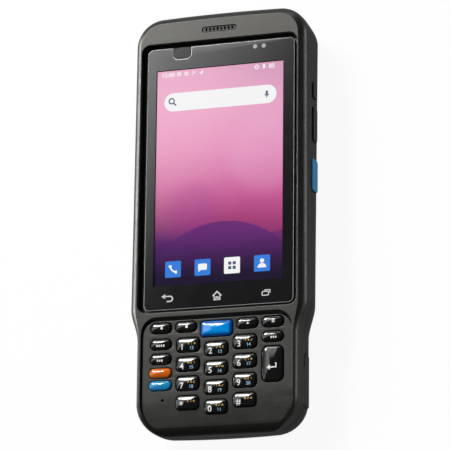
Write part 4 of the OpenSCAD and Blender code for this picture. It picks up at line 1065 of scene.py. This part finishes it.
white_ink = ink("white_key_print", (0.86, 0.86, 0.84))
yellow_ink = ink("yellow_key_print", (0.75, 0.48, 0.10))
pale_blue_ink = ink("pale_blue_key_print", (0.36, 0.60, 0.82))
digits = {"key_star": "*", "key_hash": "#", **{"key_%d" % i: str(i) for i in range(10)}}
bar_marks = {"key_function_upper": (-0.7, (-1.2, -0.3, 0.6, 1.5)),
             "key_function_lower": (-0.7, (-0.9, 0.0, 0.9)), "key_clear": (-0.5, (-0.3, 0.6, 1.5))}
small_marks = {name: [rounded_rect(0.55, 0.8, 0.1, x, y, 2) for x in places]
               for name, (y, places) in bar_marks.items()}
small_marks["key_soft_left"] = [disc(0.5, 0.6, -0.2, 14)]
small_marks["key_soft_mid_left"] = [rounded_rect(1.0, 1.0, 0.15, 0.5, -0.2, 2)]
small_marks["key_soft_mid_right"] = [[(-0.1, -0.6), (1.0, -0.6), (0.45, 0.4)]]
small_marks["key_soft_right"] = (strip([(-0.1, -0.4), (1.0, -0.4)], 0.35)
                                 + strip([(-0.1, 0.2), (1.0, 0.2)], 0.35))
plus = strip([(-0.42, 0), (0.42, 0)], 0.17) + strip([(0, -0.42), (0, 0.42)], 0.17)
equals = strip([(-0.4, 0.2), (0.4, 0.2)], 0.17) + strip([(-0.4, -0.2), (0.4, -0.2)], 0.17)
slash = strip([(-0.3, -0.42), (0.3, 0.42)], 0.18)
colon = [disc(0.13, 0, 0.28, 8), disc(0.13, 0, -0.28, 8)]
bracket = strip([(0.2, 0.45), (-0.15, 0.2), (-0.15, -0.2), (0.2, -0.45)], 0.17)
small_signs = [plus, slash, equals, bracket, colon]
numbered = 0
for name, shape in key_shapes.items():
    cx, cy, w, l, r = shape
    slot = key_slots.get(name, "key_black")
    dress(key_cap(name, shape), key_colours.get(name, key_black), name, slot, name)
    prints = []
    if name in digits:
        picks = [small_signs[(numbered * 3 + i) % len(small_signs)] for i in range(3)]
        yellow = sum([shifted(sign, cx + 0.6 + 1.15 * i, cy + 0.35) for i, sign in enumerate(picks)], [])
        prints.append(("_yellow", yellow, yellow_ink))
        if name not in ("key_star", "key_hash"):
            number = letters(str(11 + numbered), 1.25, cx + 1.7, cy - 1.35, 0.01)
            prints.append(("_blue", number, pale_blue_ink))
        prints.append(("_print", letters(digits[name], 2.3, cx - 2.1, cy - 0.9, 0.03), white_ink))
        numbered += 1
    elif name == "key_enter":
        white = strip([(cx + 1.6, cy + 0.2), (cx + 1.6, cy - 1.5), (cx - 0.8, cy - 1.5)], 0.45)
        white.append([(cx - 2.0, cy - 1.5), (cx - 0.7, cy - 2.5), (cx - 0.7, cy - 0.5)])
        prints.append(("_print", white, white_ink))
    elif name in small_marks:
        prints.append(("_print", shifted(small_marks[name], cx, cy), white_ink))
    height = crown_at(shape, min(widest_round, l * 0.2))
    for kind, faces, colour in prints:
        dress(printed(name + kind, faces, height, mark_t, mark_sunk, mark_cell), colour, name, slot)

# ---- Rear casing ----
# The lower half of the housing, moulded in black glass-filled nylon round the battery bay. Its flanks
# roll into a flat back, and its walls carry the side keys, the scan window and the sockets.
end_lean = 2.5
grip_back_round = 9.0
head_back_rounds = (9.5, 8.2)
grip_flank_drop = 2.7
head_flank_drops = (2.0, 8.0)
wall_inset, room_inset, floor_inset = 2.8, 4.0, 6.6
room_low_z = 6.0
head_room_y = 17.4
boss_r = 3.0
shank_r = 1.3
counterbore_r = 2.3
counterbore_z = 6.2
screw_r = 2.1
grip_screw_y = -28.0
foot_screw_x = 27.375
screw_low, screw_high = extent("case_screws")
head_screw_x = screw_high.x - screw_r
screw_places = [(sx * x, y) for x, y in ((head_screw_x, screw_high.y - screw_r),
                                         (head_screw_x, grip_screw_y),
                                         (foot_screw_x, screw_low.y + screw_r)) for sx in (-1, 1)]
pack_low, pack_high = extent("battery_pack")
cover_low, cover_high = extent("battery_cover")
cover_half = cover_high.x
cover_top_y = cover_high.y
cover_end_y = cover_low.y + 2.2
cover_gap = 0.25
cover_t = 2.0
tab_x, tab_slot_half = 13, 4.3
inner_back_z = pack_low.z
bay_roof_z = extent("main_board")[0].z - 0.1
latch_y, latch_well_w, latch_well_l = 11.9, 14, 9
side_key_gap, side_key_tab, side_wall = 0.2, 0.5, 1.8
engine_low, engine_high = extent("scan_engine")
engine_seat_half = 9
window_z = middle("scan_window")[2]
window_mouth_w, window_mouth_h = 27.2, 7.6
window_hole_w, window_hole_h = 23.0, 5.4
back_window_x, back_window_y = middle("rear_camera_window")[:2]
back_pane_w, back_pane_l, back_pane_r = 17.2, 8.6, 4.2
lens_x, lens_hole_r = back_window_x - 3.4, 3.2
flash_x, flash_hole_r = back_window_x + 5.1, 1.5
speaker_x, speaker_y = middle("loudspeaker")[:2]
speaker_slot_w, speaker_slot_l, speaker_slot_pitch = 1.0, 7.0, 2.25
socket_low, socket_high = extent("io_cover")
usb_y, usb_z = middle("usb_connector")[1:]
pin_x, pin_y = middle("io_cover_pin")[:2]
contact_strip_w, contact_strip_h, contact_strip_z = 21.6, 3.2, 7
spring_end_y = extent("battery_contacts")[1].y
strip_low, strip_high = extent("side_switches")
strip_room_low, strip_room_high, strip_room_t = 9.7, 15.1, 1.2
left_strip_end_y = 25.35

upside_down = Matrix.Scale(-1, 4, (0, 0, 1))
to_right = Matrix(((0, 0, 1, 0), (0, 1, 0, 0), (1, 0, 0, 0), (0, 0, 0, 1)))
to_left = Matrix(((0, 0, -1, 0), (0, 1, 0, 0), (1, 0, 0, 0), (0, 0, 0, 1)))
to_top = Matrix(((1, 0, 0, 0), (0, 0, 1, 0), (0, 1, 0, 0), (0, 0, 0, 1)))
to_bottom = Matrix(((1, 0, 0, 0), (0, 0, -1, 0), (0, 1, 0, 0), (0, 0, 0, 1)))


def back_round(y):
    """How far the back edge is rounded inward."""
    return mix(grip_back_round, mix(*head_back_rounds, head_run(y)), head_share(y))


def flank_z(y):
    """Where the upright flank ends and the rounding begins."""
    return seam_z - mix(grip_flank_drop, mix(*head_flank_drops, head_run(y)), head_share(y))


def rear_skin():
    """The outside of the rear half, from the flat back round to the groove at the seam."""
    def ring(height, inset):
        points = []
        for p, n in zip(outline, normals):
            z = height(p[1])
            lean = end_lean * max(0.0, n.y) * (seam_z - z) / seam_z
            points.append((p[0] - n.x * (inset(p[1]) + lean), p[1] - n.y * (inset(p[1]) + lean), z))
        return points

    rings = []
    for i in range(15):
        a = math.radians(90 - 90 * i / 14)
        rings.append(ring(lambda y: flank_z(y) * (1 - math.sin(a)),
                          lambda y: back_round(y) * (1 - math.cos(a))))
    for drop, inset in ((groove_top_h, 0.0), (groove_edge_h, seam_groove), (0.0, seam_groove)):
        rings.append(ring(lambda y: seam_z - drop, lambda y: inset))
    return loft("rear_casing", rings)


def clipped(points, low_y, high_y):
    """The part of a closed outline between two heights."""
    for sign, limit in ((1, low_y), (-1, -high_y)):
        kept = []
        for p, q in zip(points[-1:] + points[:-1], points):
            a, b = sign * p[1] - limit, sign * q[1] - limit
            if (a >= 0) != (b >= 0):
                kept.append((mix(p[0], q[0], a / (a - b)), mix(p[1], q[1], a / (a - b))))
            if b >= 0:
                kept.append(q)
        points = kept
    return points


def block(x0, x1, y0, y1, z0, z1):
    return hole([(x1, y0), (x1, y1), (x0, y1), (x0, y0)], z0, z1)


def back_pocket(w, l, r, x, y, depth, rim=0.25):
    return pocket(w, l, r, x, y, depth, rim, upside_down, 0.0)


def side_hole(name, turn):
    """The hole for a side key, with room behind the wall for the tabs that hold it."""
    low, high = extent(name)
    y, z = middle(name)[1:]
    tall, wide = high.z - low.z + 2 * side_key_gap, high.y - low.y + 2 * side_key_gap
    reach = half_width(y)
    return [pocket(tall, wide - 2 * side_key_tab, 1.4, z, y, 8, 0.3, turn, reach),
            pocket(tall, wide, 1.4, z, y, 6.2, 0, turn, reach - side_wall)]


def head_room(inset):
    """The outline of the room in the head, round the scan engine."""
    return clipped(inner_outline(inset), head_room_y, engine_high.y)


def bosses():
    """The posts that stay standing round the screws."""
    return [hole(disc(boss_r, x, y, 32), 0, body_t) for x, y in screw_places]


rooms = [
    cut(hole(inner_outline(wall_inset), bay_roof_z, body_t), bosses()),
    cut(hole(head_room(room_inset), room_low_z, body_t), bosses()),
    cut(hole(head_room(floor_inset), inner_back_z, room_low_z + 1),
        bosses() + [block(-engine_seat_half, engine_seat_half, engine_low.y + 2, engine_high.y + 9, 0,
                          engine_low.z)]),
]
screw_holes = []
for x, y in screw_places:
    screw_holes.append(hole(disc(counterbore_r, x, y, 32), -1, counterbore_z))
    screw_holes.append(hole(disc(shank_r, x, y, 24), counterbore_z - 0.5, body_t))
back_openings = [
    back_pocket(2 * (cover_half + cover_gap), cover_top_y - cover_end_y + 2 * cover_gap, 4.25, 0,
                (cover_top_y + cover_end_y) / 2, cover_t, 0),
    hole(rounded_rect(2 * pack_high.x + 0.4, spring_end_y + 0.2 - pack_low.y, 1, 0,
         (spring_end_y + pack_low.y) / 2), -1, pack_high.z),
    back_pocket(latch_well_w, latch_well_l, 1.4, 0, latch_y, 1.6),
    back_pocket(back_pane_w, back_pane_l, back_pane_r, back_window_x, back_window_y, 1.3),
    hole(disc(lens_hole_r, lens_x, back_window_y), 0, 4),
    hole(disc(flash_hole_r, flash_x, back_window_y), 0, 4),
]
back_rooms = {
    "cover_foot": (-cover_half - cover_gap, cover_half + cover_gap, cover_end_y - cover_gap,
                   cover_end_y + 5, -1, cover_t),
    "cover_lug": (-6.4, 6.4, 0.8, cover_top_y + cover_gap, -1, 5.9),
    "latch_neck": (-1.8, 1.8, 9.3, 15.1, -1, 4.1),
    "latch_tongue": (-4.3, 4.3, 4.0, 16.4, 2.95, 4.35),
    "battery_contacts": (-7.1, 7.1, -2.3, 0.0, 7.9, 11.6),
}
back_openings += [block(*room) for room in back_rooms.values()]
back_openings += [block(x - tab_slot_half, x + tab_slot_half, cover_low.y - 0.4, pack_low.y + 0.8, 1.7,
                        5.4) for x in (-tab_x, tab_x)]
back_openings += [back_pocket(speaker_slot_w, speaker_slot_l, 0.48, speaker_x + speaker_slot_pitch * i,
                              speaker_y, 4, 0.2) for i in range(-2, 3)]
end_openings = [
    pocket(window_mouth_w, window_mouth_h, 1.1, 0, window_z, 2.7, 0.4, to_top, 82.4),
    pocket(window_hole_w, window_hole_h, 1.0, 0, window_z, 6, 0, to_top, 80),
    pocket(contact_strip_w + 0.2, contact_strip_h + 0.2, 0.6, 0, contact_strip_z, 2.4, 0.3, to_bottom,
           82.1),
]
side_openings = [
    block(strip_high.x - strip_room_t, strip_high.x, strip_low.y - 0.2, strip_high.y + 0.2,
          strip_room_low, strip_room_high),
    block(-strip_high.x, strip_room_t - strip_high.x, strip_low.y - 0.2, left_strip_end_y,
          strip_room_low, strip_room_high),
    block(socket_low.x - 0.2, grip_half + 3, socket_low.y - 0.2, socket_high.y + 0.2, socket_low.z - 0.2,
          socket_high.z + 0.2),
    pocket(3.4, 9.2, 1.65, usb_z, usb_y, 6.5, 0.15, to_right, extent("usb_connector")[1].x + 0.1),
    hole(disc(0.47, pin_x, pin_y, 24), extent("io_cover_pin")[0].z, seam_z),
]
for name, turn in (("power_key", to_right), ("volume_key", to_right), ("scan_key_right", to_right),
                   ("scan_key_left", to_left)):
    side_openings += side_hole(name, turn)
rear_casing = cut(rear_skin(), rooms + screw_holes + back_openings + end_openings + side_openings)
casing_black = moulded("casing_black_nylon", (0.010, 0.010, 0.010), 0.35)
dress(rear_casing, casing_black, "casing", "casing_black", "rear_case")

# ---- Seal and side keys ----
# A silicone cord in the seam keeps water out. The side keys are hard caps that slide in the wall and
# press on small switches, the long blue ones to scan with either thumb.
finish(moulded("seal_silicone", (0.015, 0.015, 0.016), 0.62, 1.2, 0.01), "case_seal")
side_black = moulded("side_key_black", (0.012, 0.012, 0.013), 0.34, 0.3, 0.01)
side_blue = gloss("side_scan_blue", (0.03, 0.30, 0.62), 0.16)
for name, material, slot in (("power_key", side_black, "side_key_black"),
                             ("volume_key", side_black, "side_key_black"),
                             ("scan_key_right", side_blue, "scan_blue"),
                             ("scan_key_left", side_blue, "scan_blue")):
    rounded_off(name + "_cap", name, 0.3, material, name, slot, 4)


track_pitch = 1.6


def board(name, colour, track):
    """A lacquered circuit board: copper tracks show paler through the lacquer, between bare patches."""
    material, tree, place = new_finish(name)
    runs = node(tree, "ShaderNodeTexVoronoi", {"Vector": place, "Scale": 1 / (track_pitch * MM),
                "Randomness": 0.7}, "Distance", feature="F1", distance="CHEBYCHEV")
    tracks = smooth_step(runs, 0.36, 0.42)
    glaze = noise(place, 3.0)
    surface(tree, Base_Color=blend(tracks, tint(colour), tint(track)), Roughness=0.28 + glaze * 0.12,
            Normal=relief(tracks, 0.03))
    return material


green_board = board("green_board", (0.010, 0.11, 0.05), (0.03, 0.21, 0.09))
finish(green_board, "side_switches")

# ---- Battery, its cover and its latch ----
# A wrapped lithium pack lies in the bay under a cover with pressed grip ribs, hinged on two tabs at the
# bottom end. A sliding latch holds it, and leaf springs meet the pads at the pack's upper end.
weld_x, weld_w = 14.6, 0.8
wrap_film, tree, place = new_finish("battery_wrap_film")
shrink = noise(place, 7.0, 3.0)
weld = abs(axis_of(place, "X"))
weld_line = (smooth_step(weld, weld_x * MM, (weld_x + 0.1) * MM)
             - smooth_step(weld, (weld_x + weld_w - 0.1) * MM, (weld_x + weld_w) * MM))
surface(tree, Base_Color=blend(shrink, (0.022, 0.024, 0.028, 1), (0.034, 0.037, 0.043, 1)),
        Roughness=0.26 + shrink * 0.16, Normal=relief(shrink * 0.5 + weld_line, 0.08))
latch_nylon = moulded("latch_nylon", (0.012, 0.012, 0.012), 0.4, 0.3, 0.012)
rounded_off("battery_block", "battery_pack", 0.5, wrap_film, "casing", "battery_wrap", 4)
rounded_off("battery_door", "battery_cover", 0.18, casing_black, "battery_cover", "casing_black")
rounded_off("latch_slide", "battery_latch", 0.15, latch_nylon, "battery_latch", "latch_black")


def metal(name, colour, rough, grain=0.6, depth=0.01, along=(1, 1, 1)):
    """Bare metal: stamped or turned, with a fine grain, finer across than along, and dull spots."""
    material, tree, place = new_finish(name)
    stretched = node(tree, "ShaderNodeVectorMath", {0: place, 1: along}, operation="MULTIPLY")
    lines = noise(stretched, grain, 3.0)
    dull = noise(place, 4.0, 3.0)
    surface(tree, Base_Color=blend(dull, tint(colour, 0.82), tint(colour)), Metallic=1.0,
            Roughness=rough + lines * 0.12 + dull * 0.08, Normal=relief(lines, depth))
    return material


def copies(name, places, pattern, material):
    """The pattern repeated at every place by geometry nodes, as one plain mesh."""
    points = bpy.data.meshes.new(name)
    points.from_pydata([Vector(p) * MM for p in places], [], [])
    holder = link(name, points)
    tree = bpy.data.node_groups.new(name, "GeometryNodeTree")
    tree.interface.new_socket("Geometry", in_out="INPUT", socket_type="NodeSocketGeometry")
    inputs = {}
    for label, kind in (("Pattern", "Object"), ("Finish", "Material")):
        inputs[label] = tree.interface.new_socket(label, in_out="INPUT", socket_type="NodeSocket" + kind)
    tree.interface.new_socket("Geometry", in_out="OUTPUT", socket_type="NodeSocketGeometry")
    group_input = tree.nodes.new("NodeGroupInput")
    given = {label: Wire(tree, socket) for label, socket in group_input.outputs.items()}
    shape = node(tree, "GeometryNodeObjectInfo", {"Object": given["Pattern"]}, "Geometry")
    spread = node(tree, "GeometryNodeInstanceOnPoints", {"Points": given["Geometry"], "Instance": shape})
    solid = node(tree, "GeometryNodeRealizeInstances", {"Geometry": spread})
    done = node(tree, "GeometryNodeSetMaterial", {"Geometry": solid, "Material": given["Finish"]})
    node(tree, "NodeGroupOutput", {0: done})
    repeat = holder.modifiers.new("repeat", "NODES")
    repeat.node_group = tree
    repeat[inputs["Pattern"].identifier] = pattern
    repeat[inputs["Finish"].identifier] = material
    plain(holder)
    bpy.data.node_groups.remove(tree)
    bpy.data.meshes.remove(pattern.data)
    return holder


def turned(name, profile, steps=40):
    """A closed turned solid about Z through (radius, height) points, from the axis up to the axis."""
    return loft(name, [laid(disc(max(r, 0.0005), 0, 0, steps), z) for r, z in profile])


def prism(name, outline, levels):
    """A flat outline raised through (height, share of its size) levels."""
    return smoothed(loft(name, [laid(outline, z, share) for z, share in levels]))


contact_pitch = 4
brass = metal("gilded_brass", (0.83, 0.58, 0.22), 0.22)
pad = prism("pad", rounded_rect(1.9, 2.6, 0.3, 0, 0, 3), ((-0.3, 1.0), (0.0, 1.0), (0.04, 0.94)))
pad.data.transform(Matrix.Rotation(math.radians(-90), 4, "X"))
pads = copies("battery_pads", [(contact_pitch * i, pack_high.y, 9.75) for i in (-1, 0, 1)], pad, brass)
dress(pads, brass, "casing", "contact_brass")
rounded_off("battery_springs", "battery_contacts", 0.12, brass, "casing", "contact_brass")

# ---- Charging contacts ----
# Five domed pins of gilded brass in a moulded strip, let into the bottom end for a cradle. The pins are
# turned once and repeated.
pin = smoothed(turned("pin", [(0.0, -0.4), (0.9, -0.4), (0.9, 0.14), (0.82, 0.24), (0.6, 0.3),
                              (0.0, 0.34)], 32))
pin.data.transform(Matrix.Rotation(math.radians(90), 4, "X"))
pin_end_y, pin_z = extent("charge_contacts")[0].y, middle("charge_contacts")[2]
pin_row = copies("charge_pins", [(contact_pitch * i, pin_end_y + 0.36, pin_z) for i in range(-2, 3)], pin,
                 brass)
dress(pin_row, brass, "casing", "contact_brass", "charge_contacts")
strip_rings = []
for y, inset in ((79.7, 0.0), (80.98, 0.0), (81.08, 0.1)):
    w, h = contact_strip_w - 2 * inset, contact_strip_h - 2 * inset
    strip_rings.append(laid(rounded_rect(w, h, 0.5, 0, contact_strip_z, 5), y))
contact_strip = smoothed(loft("contact_strip", strip_rings))
contact_strip.data.transform(to_bottom)
dress(contact_strip, moulded("contact_strip_black", (0.012, 0.012, 0.012), 0.5), "casing",
      "contact_brass")

# ---- Side connector and its cover ----
# A stamped steel socket behind a small rubber-faced door, which turns on a steel pin at its lower end
# when a cable is plugged in.
socket_steel = metal("socket_steel", (0.62, 0.62, 0.63), 0.24, 0.5, 0.006, (1, 1, 6))
door_rubber = moulded("door_rubber", (0.020, 0.020, 0.021), 0.58, 0.4, 0.02)
rounded_off("socket_shell", "usb_connector", 0.06, socket_steel, "casing", "module_metal")
rounded_off("socket_door", "io_cover", 0.2, door_rubber, "io_cover", "cover_rubber")
finish(metal("pin_steel", (0.60, 0.60, 0.61), 0.2, 0.4, 0.004), "io_cover_pin")

# ---- Case screws ----
# Six cylinder-head screws of blackened steel with star recesses, turned in from the back through the
# bosses. One is turned and cut, then repeated.
star_r = 1.05
star_depth = 1.3
core_r, thread_r, thread_pitch = 1.0, 1.25, 0.5


def star():
    """A six-lobed driver recess."""
    angles = [math.tau * i / 48 for i in range(48)]
    lobes = [(star_r * (0.88 + 0.12 * math.cos(6 * a)), a) for a in angles]
    return [(r * math.cos(a), r * math.sin(a)) for r, a in lobes]


shank_z = counterbore_z - screw_low.z
end_z = screw_high.z - screw_low.z
profile = [(0.0, 0.0), (screw_r - 0.35, 0.0), (screw_r - 0.1, 0.1), (screw_r, 0.35), (screw_r, shank_z),
           (core_r, shank_z)]
for i in range(int((end_z - shank_z - 1.0) / thread_pitch)):
    thread_z = shank_z + thread_pitch * i
    profile += [(core_r, thread_z + thread_pitch / 2), (thread_r, thread_z + thread_pitch)]
profile += [(core_r, end_z - 0.6), (0.5, end_z), (0.0, end_z)]
screw = cut(turned("screw", profile, 36), [hole(star(), -1, star_depth)])
screw_steel = metal("blackened_screw_steel", (0.16, 0.16, 0.17), 0.3, 0.3, 0.006)
screws = copies("star_screws", [(x, y, screw_low.z) for x, y in screw_places], screw, screw_steel)
dress(screws, screw_steel, "casing", "screw_steel", "case_screws")

# ---- Scan window and scan engine ----
# A dark red window, hard-coated, lets the imager read through the top end. The engine behind it is a
# die-cast block with two round openings, for its camera and its aiming lamp.
red_window, tree, place = new_finish("red_scan_window")
haze = noise(place, 6.0, 3.0)
surface(tree, Base_Color=blend(haze, (0.09, 0.004, 0.010, 1), (0.14, 0.008, 0.016, 1)),
        Roughness=0.05 + haze * 0.06, Coat_Weight=0.3)
rounded_off("scan_pane", "scan_window", 0.15, red_window, "casing", "scan_window")
die_cast = metal("die_cast_zinc", (0.30, 0.31, 0.33), 0.42, 0.8, 0.02)
module_black = moulded("module_black", (0.014, 0.014, 0.015), 0.42, 0.4, 0.012)
finish(die_cast, "scan_engine")

# ---- Cameras and sensors ----
# The rear camera and its lamp sit under a glossy black pane, the front camera behind the window in the
# glass's notch, and the light sensor behind the border of the glass.
back_pane_black = gloss("back_pane_black", (0.008, 0.008, 0.009), 0.07)
rounded_off("back_camera_pane", "rear_camera_window", 0.2, back_pane_black, "casing", "camera_window")
lens_glass = gloss("lens_glass", (0.006, 0.008, 0.016), 0.03, 0.3)
ring_metal = metal("lens_ring_metal", (0.45, 0.46, 0.48), 0.25, 0.3, 0.004)
flash_yellow = gloss("flash_yellow", (0.60, 0.52, 0.24), 0.2, 0.2)
pane_z = extent("rear_camera_window")[0].z
ring_profile = [(2.2, 0.0), (2.25, -0.03), (2.4, -0.06), (2.55, -0.03), (2.55, 0.02), (0.0, 0.02)]
eye_profile = [(0.6, -0.12), (1.2, -0.08), (1.7, -0.02), (1.7, 0.03), (0.0, 0.03)]
flash_profile = [(0.9, -0.07), (1.2, -0.03), (1.2, 0.03), (0.0, 0.03)]
for name, x, dome_z, profile, material, slot in (
        ("lens_ring", lens_x, 0.0, ring_profile, ring_metal, "module_metal"),
        ("lens_eye", lens_x, -0.13, eye_profile, lens_glass, "camera_window"),
        ("flash_lens", flash_x, -0.09, flash_profile, flash_yellow, "module_metal")):
    optic = smoothed(turned(name, [(0.0, dome_z)] + profile, 48))
    optic.data.transform(Matrix.Translation(Vector((x, back_window_y, pane_z)) * MM))
    dress(optic, material, "casing", slot)
finish(module_black, "rear_camera", "front_camera", "proximity_sensor", "earpiece_receiver",
       "loudspeaker")

# ---- Inside ----
# The glass lies on a foam gasket round the display. Below them an aluminium frame carries the main
# board with its shielding cans, and the keypad board carries metal domes under a rubber mat.
finish(moulded("gasket_foam", (0.012, 0.012, 0.012), 0.8, 0.3, 0.03), "display_gasket")
finish(moulded("mat_silicone", (0.10, 0.10, 0.105), 0.6, 0.6, 0.01), "keypad_mat")
finish(metal("frame_aluminium", (0.72, 0.73, 0.74), 0.3, 0.4, 0.008, (1, 8, 1)), "inner_frame")
finish(metal("motor_steel", (0.55, 0.55, 0.56), 0.25, 0.4, 0.006), "vibration_motor")
finish(green_board, "keypad_board", "main_board")
board_top_z = extent("keypad_board")[1].z
dome = smoothed(turned("dome", [(0.0, 0.0), (1.9, 0.0), (1.6, 0.12), (1.0, 0.22), (0.0, 0.27)], 20))
domes = copies("key_domes", [(x, y, board_top_z - 0.75) for x, y, w, l, r in key_shapes.values()], dome,
               socket_steel)
dress(domes, socket_steel, "casing", "module_metal")
chip_pitch_x, chip_pitch_y = 3.0, 4.2
chip_low, chip_high = extent("main_board")
chip_places = [(chip_low.x + 3 + chip_pitch_x * i, chip_low.y + 4 + chip_pitch_y * k, chip_high.z - 1.5)
               for i in range(15) for k in range(5)]
chip = prism("chip", rounded_rect(1.9, 1.2, 0.1, 0, 0, 2), ((-0.1, 1.0), (0.5, 1.0), (0.55, 0.95)))
chips = copies("board_chips", chip_places, chip, module_black)
dress(chips, module_black, "casing", "module_black")

low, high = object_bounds()
